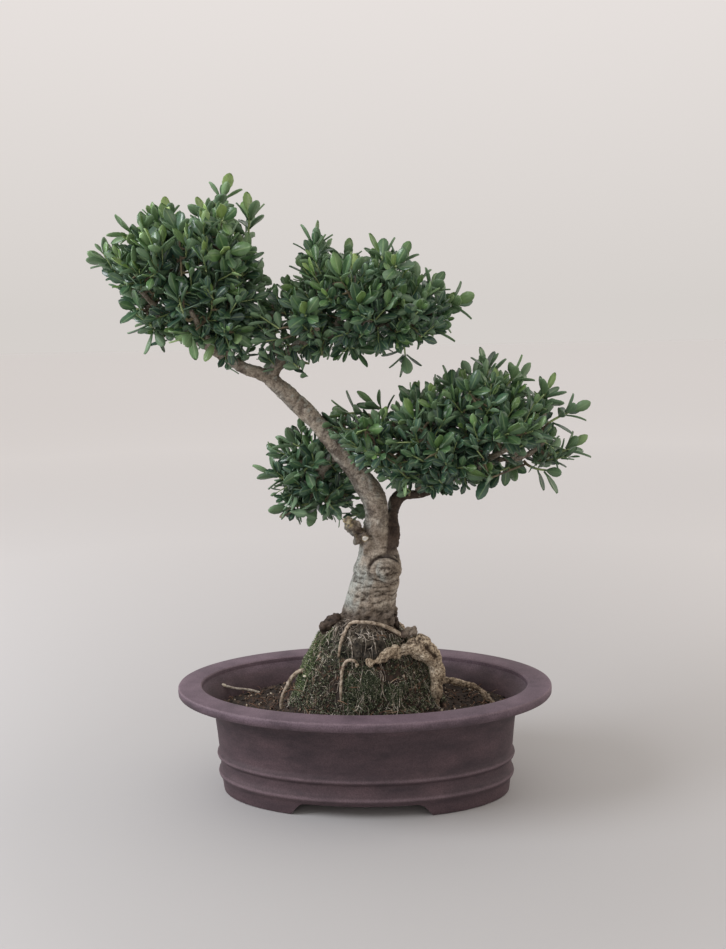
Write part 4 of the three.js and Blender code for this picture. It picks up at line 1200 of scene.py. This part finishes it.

# %% [markdown]
# ## Leaf surface
#
# A holly leaf has a thick waxy skin, so its top is glossy, with broad soft highlights, while its underside
# is paler and dull. Young leaves at the tips are yellow-green and darken with age, which the tone on every
# leaf gives; the lower pads also get darker tones, a painted shade. The pale midrib follows the leaf's own
# map, along its middle.

# %% Waxy leaf
MIDRIB_EDGE = (0.02, 0.08)
waxy_leaf, shader = new_material(
    "waxy holly leaf", Roughness=0.36, IOR=1.48, Coat_Weight=0.35, Coat_Roughness=0.22)
tone = add_node(waxy_leaf, "Attribute", "Fac", attribute_name="tone")
age = add_node(waxy_leaf, "ValToRGB", inputs={"Fac": tone}, stops=[
    (0.0, "#395349"), (0.26, "#476650"), (0.48, "#587b50"), (0.7, "#779a54"), (1.0, "#b3ca76")])
leaf_map = add_node(waxy_leaf, "UVMap", uv_map="UVMap")
across = add_node(waxy_leaf, "SeparateXYZ", "X", inputs={"Vector": leaf_map})
off_middle = add_node(waxy_leaf, "Math", operation="SUBTRACT", inputs={0: across, 1: 0.5})
distance = add_node(waxy_leaf, "Math", operation="ABSOLUTE", inputs={0: off_middle})
place = add_node(waxy_leaf, "TexCoord", "Object")
mottle = add_node(waxy_leaf, "TexNoise", inputs={"Vector": place, "Scale": per_mm(7), "Detail": 3.0})
mottle_tone = add_node(waxy_leaf, "ValToRGB", stops=[(0.35, "#c3cbc6"), (0.65, "#ffffff")],
                       inputs={"Fac": mottle})
mottled = add_node(waxy_leaf, "Mix", data_type="RGBA", blend_type="MULTIPLY", inputs={
    "Factor": 0.7, "A": age, "B": mottle_tone})
rib = add_node(waxy_leaf, "MapRange", inputs={
    "Value": distance, "From Min": MIDRIB_EDGE[0], "From Max": MIDRIB_EDGE[1], "To Min": 0.5, "To Max": 0.0})
ribbed = add_node(waxy_leaf, "Mix", data_type="RGBA", inputs={
    "Factor": rib, "A": mottled, "B": linear("#8fa873")})
underside = add_node(waxy_leaf, "Attribute", "Fac", attribute_name="underside")
pale = add_node(waxy_leaf, "Math", operation="MULTIPLY", inputs={0: underside, 1: 0.55})
both_sides = add_node(waxy_leaf, "Mix", data_type="RGBA", inputs={
    "Factor": pale, "A": ribbed, "B": linear("#7a9670")})
dull = add_node(waxy_leaf, "MapRange", inputs={"Value": underside, "To Min": 0.34, "To Max": 0.7})
set_inputs(shader, {"Base Color": both_sides, "Roughness": dull})

green_twig = clouded_material("young green bark", 12, Roughness=0.7, stops=[
    (0.35, "#4a4035"), (0.5, "#6b5f4b"), (0.66, "#857b5e")])
young_stem = clouded_material("young green stem", 20, Roughness=0.6, stops=[
    (0.35, "#6f7d4e"), (0.5, "#8ea168"), (0.66, "#b3c489")])
print("leaf and twig materials made")

# %% [markdown]
# ## Where the leaves grow
#
# Every leafy spray of the solid model is grown again by the same rule, from the same seed: a twig leaves the
# nearest free spot on the wood, bends towards its tip, and opens leaves on its last joints. So each finer
# spray has its twig and leaves where the solid one has them. The rule draws its numbers in a fixed order.

# %% Seeded draws, and balls along the wood
CLEARANCE = 0.35
LEAF_LENGTH = (17, 23)
LEAF_TWIST = 0.8
LEAF_GAP = 1.2
LEAF_REACH = 14
LEAF_JITTER = 0.3
LEAF_LIFT = 0.12
LEAF_ATTEMPTS = 4
TWIG_RADII = (1.3, 1.2, 1.1, 1, 0.9, 0.8)
JOINTS_FROM_TIP = (15, 9.5, 4.5, 0)
BALL_GAP = 3
TWIG_SWELLING = 1.5
SIDE_TWIG_RADII = (0.9, 0.85, 0.8)
SIDE_JOINTS_FROM_TIP = (4.5, 0)
NEARLY_LEVEL = 0.8
LARGEST_ROLL = 1.57
FIRST_SEED = 1000
SHORTEST_SPRAY = 40
TOO_SHORT_PENALTY = 100
START_SPACING = 7
TAKEN_PENALTY = 60
BARE_FROM_TIP = 15
SHORTEST_SIDE_TWIG = 27
LEAF_PLACES = [(0, (0,), 0.1), (1, (0, 1, 2, 3), 0.72), (2, (0, 2), 1.15), (3, (1,), 1.25)]
SIDE_LEAF_PLACES = LEAF_PLACES[:2]
BLADE_BALLS = ((0.12, 0.12), (0.35, 0.2), (0.6, 0.23), (0.86, 0.2))
RIGHT, BACK, UP = np.eye(3)
WORD = 0xFFFFFFFF
SEED_STEP = 0x6D2B79F5


def draws(seed):
    state = seed
    while True:
        state = (state + SEED_STEP) & WORD
        t = ((state ^ (state >> 15)) * (state | 1)) & WORD
        t = ((t + (((t ^ (t >> 7)) * (t | 61)) & WORD)) & WORD) ^ t
        yield (t ^ (t >> 14)) / (WORD + 1)


def balls_along(stations):
    balls = []
    for start, end in zip(np.array(stations, float), np.array(stations, float)[1:]):
        gap = end[:3] - start[:3]
        length = np.linalg.norm(gap)
        count = max(1, int(length / BALL_GAP + 0.5))
        balls += [np.concatenate((start + (end - start) * k / count, gap / length)) for k in range(count)]
    return np.array(balls)


def hits(balls, others, gap):
    apart = np.linalg.norm(balls[:, None, :3] - others[None, :, :3], axis=2)
    return bool((apart < balls[:, None, 3] + others[None, :, 3] + gap).any())


# %% Twigs
def turned(v, axis, angle):
    cosine, sine = math.cos(angle), math.sin(angle)
    return v * cosine + np.cross(axis, v) * sine + axis * (axis @ v) * (1 - cosine)


def twig_curve(ball, tip, distance):
    at, along = ball[:3], ball[4:]
    out = tip - at
    square = unit(out - along * (out @ along))
    start = at + square * distance
    end = tip - unit(tip - start) * LEAF_REACH
    bend = start + square * 0.4 * np.linalg.norm(end - start)
    return lambda t: start * (1 - t) ** 2 + bend * 2 * t * (1 - t) + end * t * t


def length_of(curve):
    track = np.array([curve(k / 200) for k in range(201)])
    return np.linalg.norm(np.diff(track, axis=0), axis=1).sum()


def twig_along(curve, shares, radii, roll):
    rings = []
    for share, radius in zip(shares, radii):
        along = unit(curve(min(share + 1e-4, 1)) - curve(max(share - 1e-4, 0)))
        beside = BACK if abs(along[0]) > NEARLY_LEVEL else RIGHT
        first = turned(unit(np.cross(along, beside)), along, roll)
        second = np.cross(along, first)
        faces = (first, second, -first, -second)
        rings.append({"at": curve(share), "along": along, "radius": radius, "faces": faces})
    balls = balls_along([(*ring["at"], ring["radius"] * TWIG_SWELLING) for ring in rings])
    return {"rings": rings, "balls": balls, "leaves": []}


def twig_from_wood(tip, roll, wood, obstacles, taken):
    reach = from_point(wood[:, :3], tip)
    penalty = np.where(reach < SHORTEST_SPRAY, TOO_SHORT_PENALTY, 0)
    if taken:
        nearest = np.linalg.norm(wood[:, None, :3] - np.array(taken)[None], axis=2).min(axis=1)
        penalty = penalty + np.where(nearest < START_SPACING, TAKEN_PENALTY, 0)
    choice = None
    for offer in np.argsort(reach + penalty, kind="stable"):
        curve = twig_curve(wood[offer], tip, wood[offer, 3] * 1.1 + 2 * CLEARANCE)
        length = length_of(curve)
        joints = [1 - distance / length for distance in JOINTS_FROM_TIP]
        twig = twig_along(curve, [0, joints[0] / 2, *joints], TWIG_RADII, roll)
        choice = choice or (offer, twig)
        if not hits(twig["balls"][2:], obstacles, CLEARANCE):
            choice = (offer, twig)
            break
    taken.append(wood[choice[0], :3])
    return choice[1]


def add_side_twig(tip, sprays, obstacles):
    offers = []
    for spray in sprays:
        main = spray["twigs"][0]
        if len(spray["twigs"]) == 1:
            end = main["rings"][-1]["at"]
            bare = [ball for ball in main["balls"] if np.linalg.norm(ball[:3] - end) > BARE_FROM_TIP]
            offers += [(np.linalg.norm(ball[:3] - tip), spray, ball) for ball in bare]
    offers = [offer for offer in offers if offer[0] > SHORTEST_SIDE_TWIG]
    for _, spray, ball in sorted(offers, key=lambda offer: offer[0]):
        curve = twig_curve(ball, tip, 0)
        length = length_of(curve)
        shares = [0, *[1 - distance / length for distance in SIDE_JOINTS_FROM_TIP]]
        twig = twig_along(curve, shares, SIDE_TWIG_RADII, spray["roll"])
        others = [t["balls"] for other in sprays if other is not spray for t in other["twigs"]]
        if not hits(twig["balls"], np.concatenate([obstacles, *others]), CLEARANCE):
            spray["twigs"].append(twig)
            return


# %% Leaves on the twigs
def leaf_from(ring, following, face, opening, draw):
    out = ring["faces"][face]
    base = (ring["at"] + following["at"]) / 2 + out * ring["radius"]
    angle = opening + LEAF_JITTER * (next(draw) - 0.5)
    beside = ring["faces"][(face + 1) % 4]
    blade = ring["along"] * math.cos(angle) + out * math.sin(angle)
    blade = unit(blade + beside * LEAF_JITTER * (next(draw) - 0.5) + UP * LEAF_LIFT)
    across = unit(beside - blade * (beside @ blade))
    across = turned(across, blade, LEAF_TWIST * (next(draw) - 0.5))
    length = LEAF_LENGTH[0] + (LEAF_LENGTH[1] - LEAF_LENGTH[0]) * next(draw)
    return {"base": base, "blade": blade, "across": across, "length": length}


def leaf_balls(leaf):
    return np.array([(*(leaf["base"] + leaf["blade"] * t * leaf["length"]), r * leaf["length"])
                     for t, r in BLADE_BALLS])


def balls_of(spray):
    return [part[:, :4] for twig in spray["twigs"]
            for part in (twig["balls"], *map(leaf_balls, twig["leaves"]))]


def add_leaves(twig, places, clear, draw):
    rings = twig["rings"]
    for joint, faces, opening in places:
        for face in faces:
            ring = rings[len(rings) - 1 - joint]
            following = rings[min(len(rings) - 1, len(rings) - joint)]
            for _ in range(LEAF_ATTEMPTS):
                leaf = leaf_from(ring, following, face, opening, draw)
                if not hits(leaf_balls(leaf), clear, LEAF_GAP):
                    twig["leaves"].append({**leaf, "age": joint})
                    break


SPRAY_TIPS = {
    "upper_left": [
        (-230, -12, 508), (-190, 10, 530), (-166, -16, 548), (-140, 12, 546), (-112, -12, 566),
        (-88, 8, 548), (-84, -18, 508), (-200, 8, 450), (-172, -24, 420), (-148, -70, 474),
        (-112, -56, 470), (-190, -60, 500), (-128, 60, 480), (-186, 56, 496), (-124, -36, 414)],
    "upper_right": [
        (-80, 0, 482), (-31, -6, 524), (-10, 14, 508), (18, -10, 508), (46, 4, 507), (76, -4, 480),
        (102, 2, 456), (86, 14, 430), (-40, -64, 452), (8, -62, 462), (48, -40, 452), (-30, 58, 462),
        (30, 58, 460), (14, -20, 408)],
    "lower_right": [
        (-28, 22, 358), (8, 30, 372), (46, 6, 392), (78, 0, 392), (112, 12, 410), (146, 4, 400),
        (176, 14, 384), (202, 8, 364), (206, 8, 322), (184, -6, 298), (146, 14, 298), (108, 4, 284),
        (70, -54, 338), (136, -60, 350), (72, 70, 342), (140, 66, 352)],
    "lower_left": [(-72, 18, 338), (-92, 18, 306), (-80, 24, 262), (-46, 36, 252), (0, 38, 262),
                   (-44, 70, 306)],
}
SIDE_TWIG_TIPS = {
    "upper_left": [
        (-163, 46, 450), (-154, 50, 520), (-106, 44, 524), (-96, 26, 430), (-208, 26, 498), (-92, 44, 484),
        (-100, -66, 498), (-106, -56, 534), (-92, -44, 426), (-204, -40, 520), (-156, -72, 514),
        (-146, -50, 534), (-192, -58, 456), (-148, -58, 422)],
    "upper_right": [
        (-64, 44, 430), (-14, -48, 490), (-58, -46, 426), (-14, 46, 420), (60, -48, 434), (42, -52, 488),
        (-38, 34, 496), (-2, 62, 488), (54, 44, 484), (18, 40, 496), (78, 44, 456), (54, 60, 438)],
    "lower_right": [
        (168, -42, 346), (8, -40, 342), (46, -38, 368), (104, -48, 382), (44, -40, 296), (106, -46, 300),
        (98, 58, 386), (54, 48, 374), (2, 58, 334), (116, 78, 328), (170, 56, 346),
        (36, 68, 310), (84, 60, 292), (142, 54, 390), (176, 52, 312)],
    "lower_left": [(-26, -4, 270), (-52, -16, 300), (-30, 54, 340), (-76, 66, 290)],
}
wood_lines = [MAIN_BRANCHES[0], *SIDE_BRANCHES[:6], MAIN_BRANCHES[1], *SIDE_BRANCHES[6:14], MAIN_BRANCHES[2],
              *SIDE_BRANCHES[14:23], MAIN_BRANCHES[3], *SIDE_BRANCHES[23:]]
wood = np.concatenate([balls_along(line) for line in wood_lines])
obstacles = np.concatenate((wood, balls_along(TRUNK)))

sprays = []
taken = []
for pad, tips in SPRAY_TIPS.items():
    for number, tip in enumerate(tips, 1):
        draw = draws(FIRST_SEED + len(sprays))
        roll = LARGEST_ROLL * next(draw)
        stems = [spray["twigs"][0]["balls"] for spray in sprays]
        twig = twig_from_wood(np.array(tip, float), roll, wood, np.concatenate([obstacles, *stems]), taken)
        sprays.append({"pad": pad, "number": number, "draw": draw, "roll": roll, "twigs": [twig]})
for pad, tips in SIDE_TWIG_TIPS.items():
    for tip in tips:
        add_side_twig(np.array(tip, float), [spray for spray in sprays if spray["pad"] == pad], obstacles)
for spray in sprays:
    around = [balls for other in sprays if other is not spray for balls in balls_of(other)]
    clear = np.concatenate([obstacles[:, :4], *around])
    add_leaves(spray["twigs"][0], LEAF_PLACES, clear, spray["draw"])
    for side_twig in spray["twigs"][1:]:
        own = [leaf_balls(leaf) for leaf in spray["twigs"][0]["leaves"]]
        add_leaves(side_twig, SIDE_LEAF_PLACES, np.concatenate([clear, *own]), spray["draw"])
print(len(sprays), "sprays,", sum(len(t["leaves"]) for spray in sprays for t in spray["twigs"]), "leaves")

# %% [markdown]
# ## Leafy sprays
#
# Each spray is a tapering twig with its leaves on it. The twig is a curve turned into a mesh, and every leaf
# is a copy of the one leaf, scaled to its own length. The two are joined, so that a spray stays one piece. A
# few sprays of the solid model start far off, on the wood of another pad. Where other wood is nearer to
# their leaves, their twigs are drawn from there.

# %% Sprays with their fine leaves
LEAF_WIDTHS = (0.41, 0.52)
GREEN_RINGS = 4
TONES_BY_AGE = (0.62, 0.4, 0.24, 0.14)
TONE_SPREAD = 0.08
TWIG_THICKENING = 1.1
SPRAY_FRESHNESS = (0.7, 1.35)
FOLIAGE_SEED = 23


def leaf_place(leaf):
    length = leaf["length"] * MM
    upper = np.cross(leaf["blade"], leaf["across"])
    origin = np.array(metres(leaf["base"]))
    return placing(origin, leaf["across"] * length * leaf["width"], leaf["blade"] * length, upper * length)


def leafy(name, shapes, twig_lines, stem_lines, leaves, tones, replaces=()):
    foliage = copies(name, shapes, list(map(leaf_place, leaves)), tones)
    foliage.data.materials.append(waxy_leaf)
    twigs = limbs(name + "_twigs", twig_lines, roundness=1, detail=3)
    twigs.data.materials.append(green_twig)
    stems = limbs(name + "_stems", stem_lines, roundness=0, detail=2)
    stems.data.materials.append(young_stem)
    select_only(twigs, stems, foliage)
    bpy.ops.object.join()
    finish(foliage, name, None, replaces)


def tone_of(leaf, freshness_and_shade, rng):
    young = TONES_BY_AGE[min(leaf["age"], len(TONES_BY_AGE) - 1)]
    return float(np.clip(young * freshness_and_shade + rng.normal(0, TONE_SPREAD), 0, 1))


PAD_WOOD = {"upper_left": (0, 7), "upper_right": (7, 16), "lower_right": (16, 26), "lower_left": (26, 30)}
FARTHEST_START = 20
SHORT_ENOUGH = 5


def from_own_wood(lines, pad):
    whole = [balls_along(stations)[:, :3] for stations in wood_lines]
    own = np.concatenate(whole[slice(*PAD_WOOD[pad])])
    if from_point(own, lines[0][0][:3]).min() < FARTHEST_START:
        return lines
    wood = np.concatenate(whole)
    drawn, redrawn = [], False
    for line in lines:
        away = from_point(wood, line[-1][:3])
        length = np.linalg.norm(np.array(line[-1][:3]) - line[0][:3])
        redrawn = redrawn or length > away.min() + SHORT_ENOUGH
        drawn.append([(*wood[away.argmin()], line[0][3]), line[-1]] if redrawn else line)
    return drawn


# %% The fallen leaf, and the sprays
FALLEN_SPOT = (50, -24)
FALLEN_LENGTH = 12
FALLEN_WIDTH = 0.45
FALLEN_LIFT = 1.5
FALLEN_AXES = np.array(((0.1, -0.5, 0.86), (-0.99, 0, 0.1), (0.05, 0.86, 0.5)))
YELLOWING = 0.95
length = FALLEN_LENGTH * MM
fallen_place = np.array(metres((*FALLEN_SPOT, ground_height(*FALLEN_SPOT) + FALLEN_LIFT)))
fallen = copies("fallen leaf", leaf_shapes[:1], [placing(
    fallen_place, FALLEN_AXES[0] * length * FALLEN_WIDTH, FALLEN_AXES[1] * length,
    FALLEN_AXES[2] * -length)], [YELLOWING])
finish(fallen, "fallen_leaf", waxy_leaf)

# A factor per pad on the leaf tones: the lower pads get darker leaves, a painted shade under the upper pads.
PAD_SHADE = {"upper_left": 1.02, "upper_right": 1.0, "lower_right": 0.95, "lower_left": 0.7}
rng = np.random.default_rng(FOLIAGE_SEED)
for spray in sprays:
    pad = spray["pad"]
    lines = [[(*ring["at"], ring["radius"] * TWIG_THICKENING) for ring in twig["rings"]]
             for twig in spray["twigs"]]
    stems = [line[-min(GREEN_RINGS, len(line) - 1):] for line in lines]
    lines = [line[:len(line) - len(stem) + 1] for line, stem in zip(lines, stems)]
    leaves = [{**leaf, "width": rng.uniform(*LEAF_WIDTHS)}
              for twig in spray["twigs"] for leaf in twig["leaves"]]
    freshness_and_shade = PAD_SHADE[pad] * rng.uniform(*SPRAY_FRESHNESS)
    tones = [tone_of(leaf, freshness_and_shade, rng) for leaf in leaves]
    ending = f"{pad}_{spray['number']:02d}"
    leafy("leafy_" + ending, leaf_shapes, from_own_wood(lines, pad), stems, leaves, tones,
          ["spray_" + ending])

# %% [markdown]
# ## Filling the pads
#
# The real pads hold several thousand leaves. More shoots are grown inside each pad's outline, as the
# photograph shows it, and the pad is given depth by rounding it like a cushion. Shoots keep a distance from
# each other, stay near the skin of the pad, where the light is, and point outwards and up. Their leaves are
# small in the shade below and inside, and larger at the top. A few hollows stay open, where the photograph
# shows bare twigs and the wall behind.

# %% More shoots in each pad
PADS = {
    "upper_left": {"depth": 66, "core": (-150, -8, 470), "outline": [
        (-228, 506), (-203, 514), (-190, 528), (-172, 542), (-148, 532), (-120, 546), (-108, 528),
        (-98, 512), (-88, 500), (-78, 488), (-78, 455), (-88, 410), (-105, 398), (-126, 410), (-152, 426),
        (-178, 430), (-192, 442), (-202, 462), (-213, 486)],
        "hollows": [(-176, 460, 16), (-150, 492, 15), (-128, 452, 14), (-92, 541, 20), (-136, 545, 12)]},
    "upper_right": {"depth": 64, "core": (5, 0, 450), "outline": [
        (-94, 458), (-70, 472), (-50, 480), (-42, 500), (-32, 512), (-22, 494), (-6, 492), (20, 498),
        (46, 496), (60, 474), (84, 460), (94, 446), (82, 434), (60, 420), (28, 413), (-4, 408),
        (-60, 408), (-90, 404)],
        "hollows": [(-62, 440, 13), (-20, 440, 11), (28, 436, 14), (-18, 508, 12)]},
    "lower_right": {"depth": 70, "core": (90, 8, 338), "outline": [
        (-30, 336), (-30, 352), (8, 354), (30, 358), (44, 378), (74, 380), (96, 384), (118, 396), (134, 382),
        (150, 380), (164, 368), (172, 358), (170, 346), (178, 332), (194, 320), (188, 306), (172, 312),
        (150, 322), (132, 308), (108, 288), (72, 284), (48, 282), (26, 290), (6, 300), (-12, 320)],
        "hollows": [(122, 320, 14), (30, 350, 8)]},
    "lower_left": {"depth": 44, "core": (-42, 30, 300), "outline": [
        (-64, 334), (-54, 344), (-38, 345), (-16, 338), (-4, 310), (2, 294), (2, 258), (-24, 250),
        (-52, 257), (-76, 263), (-84, 274), (-84, 300), (-84, 314), (-76, 328)],
        "hollows": [(-30, 300, 10)]},
}
SHOOT_SPACING = 16.5
LONGEST_TWIG = 45
SHADE_LEAF = 0.66
LEAF_ROLL = 0.7
WIDEST_OPENING = 1.05
SHELL = 30
BEARING = 22
LEAF_STEP = (2.6, 4.0)
GOLDEN_ANGLE = 2.4
TIP_SHARES = (0.62, 0.82, 0.95)
TRIES = 9000
RIM_MARGIN = 2
ROUNDED_RIM = 42
DEEP_SHARE = 0.3
OUTWARDS, OFF_THE_WOOD, UPWARDS, ASTRAY = 0.8, 0.5, 0.5, 0.3
SHOOT_RADII = (1.2, 1.0, 0.8, 0.6, 0.4)
LEAVES_PER_SHOOT = (7, 11)
NARROWEST_OPENING = 0.2
FIRST_LEAF_DOWN = 0.5
HALF_HEIGHT = 90
SHOOT_FRESHNESS = (0.45, 1.15)
FRESHER_ABOVE = 0.45
MIDDLE_EXPOSURE = 0.45
EXPOSED_ABOVE = 0.55
SPREAD = 0.15


def depth_inside(x, z, outline):
    a = np.array(outline, float)
    b = np.roll(a, -1, axis=0)
    spot = np.array((x, z))
    t = np.clip(((spot - a) * (b - a)).sum(1) / ((b - a) ** 2).sum(1), 0, 1)
    away = np.linalg.norm(a + (b - a) * t[:, None] - spot, axis=1).min()
    crossing = (a[:, 1] > z) != (b[:, 1] > z)
    rise = np.where(crossing, b[:, 1] - a[:, 1], 1)
    level = np.where(crossing, a[:, 0] + (z - a[:, 1]) * (b[:, 0] - a[:, 0]) / rise, -np.inf)
    inside = (level > x).sum() % 2 == 1
    return away if inside else -away


def shoot_tips(pad, spec, rng):
    outline = np.array(spec["outline"])
    low, high = outline.min(axis=0), outline.max(axis=0)
    tips = [np.array(tip, float) for tip in (*SPRAY_TIPS[pad], *SIDE_TWIG_TIPS[pad])]
    given = len(tips)
    for _ in range(TRIES):
        x, z = rng.uniform(low, high)
        inside = depth_inside(x, z, outline)
        open_here = any(math.hypot(x - hx, z - hz) < radius for hx, hz, radius in spec["hollows"])
        if inside < RIM_MARGIN or open_here:
            continue
        bulge = math.sqrt(1 - (1 - min(inside / ROUNDED_RIM, 1)) ** 2)
        side = rng.uniform(-1, 1)
        buried = min(inside, spec["depth"] * bulge * (1 - abs(side)))
        if buried > SHELL and rng.uniform() > DEEP_SHARE:
            continue
        tip = np.array((x, spec["core"][1] + side * spec["depth"] * bulge, z))
        if from_point(np.array(tips), tip).min() > SHOOT_SPACING:
            tips.append(tip)
    return tips[given:]


def shoot_at(tip, core, bearers, exposure, rng):
    nearest = bearers[from_point(bearers, tip).argmin()]
    outwards = unit((tip - np.array(core)) * (0.7, 1, 1))
    heading = unit(OUTWARDS * outwards + OFF_THE_WOOD * unit(tip - nearest) + UPWARDS * UP
                   + ASTRAY * rng.normal(size=3))
    low = tip - heading * BEARING
    away = from_point(bearers, low)
    start = bearers[away.argmin()]
    middle = (start + low) / 2 + 0.12 * away.min() * rng.normal(size=3)
    twig = [(*spot, radius) for spot, radius in zip((start, middle, low), SHOOT_RADII)]
    stem = [(*spot, radius) for spot, radius in zip((low, low * 0.4 + tip * 0.6, tip), SHOOT_RADII[2:])]
    first = unit(np.cross(heading, rng.normal(size=3)))
    second = np.cross(heading, first)
    leaves = []
    count = rng.integers(*LEAVES_PER_SHOOT)
    down = FIRST_LEAF_DOWN
    for k in range(count):
        azimuth = k * GOLDEN_ANGLE
        out = first * math.cos(azimuth) + second * math.sin(azimuth)
        opening = NARROWEST_OPENING + (WIDEST_OPENING - NARROWEST_OPENING) * (k / count) ** 0.7
        opening += rng.normal(0, SPREAD)
        blade = unit(heading * math.cos(opening) + out * math.sin(opening) + 0.1 * UP)
        across = np.cross(heading, out)
        across = turned(unit(across - blade * (across @ blade)), blade, rng.normal(0, LEAF_ROLL))
        size = rng.uniform(*LEAF_LENGTH) * TIP_SHARES[min(k, 2)] * (SHADE_LEAF + (1 - SHADE_LEAF) * exposure)
        base = tip - heading * down + out * 0.6
        leaves.append({"base": base, "blade": blade, "across": across, "length": size,
                       "width": rng.uniform(*LEAF_WIDTHS), "age": k // 2})
        down += rng.uniform(*LEAF_STEP)
    return twig, stem, leaves


for pad, spec in PADS.items():
    stems = [twig["balls"][:, :3] for spray in sprays if spray["pad"] == pad for twig in spray["twigs"]]
    own_wood = [balls_along(line)[:, :3] for line in wood_lines[slice(*PAD_WOOD[pad])]]
    bearers = np.concatenate([*own_wood, *stems])
    twigs, green, leaves, tones = [], [], [], []
    for tip in shoot_tips(pad, spec, rng):
        height = (tip[2] - spec["core"][2]) / HALF_HEIGHT
        exposure = MIDDLE_EXPOSURE + EXPOSED_ABOVE * height + rng.normal(0, SPREAD)
        exposure = float(np.clip(exposure, 0, 1))
        twig, stem, grown = shoot_at(tip, spec["core"], bearers, exposure, rng)
        if np.linalg.norm(np.array(twig[0][:3]) - np.array(twig[2][:3])) > LONGEST_TWIG:
            continue
        # The pad's painted shade times the shoot's own freshness, fresher higher in the pad.
        freshness_and_shade = PAD_SHADE[pad] * (rng.uniform(*SHOOT_FRESHNESS) + FRESHER_ABOVE * height)
        twigs.append(twig)
        green.append(stem)
        leaves += grown
        tones += [tone_of(leaf, freshness_and_shade, rng) for leaf in grown]
    leafy("foliage_" + pad, small_leaf_shapes, twigs, green, leaves, tones)
    print(pad, len(twigs), "more shoots,", len(leaves), "leaves")

# %% [markdown]
# ## Sizes
#
# The last step prints the size of the finished tree beside the size of the solid model, so that the two
# can be compared.

# %% Sizes, and the end
sizes = {"solid": [list(corner) for corner in solid_box], "finished": [list(corner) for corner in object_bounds()]}
print(sizes)
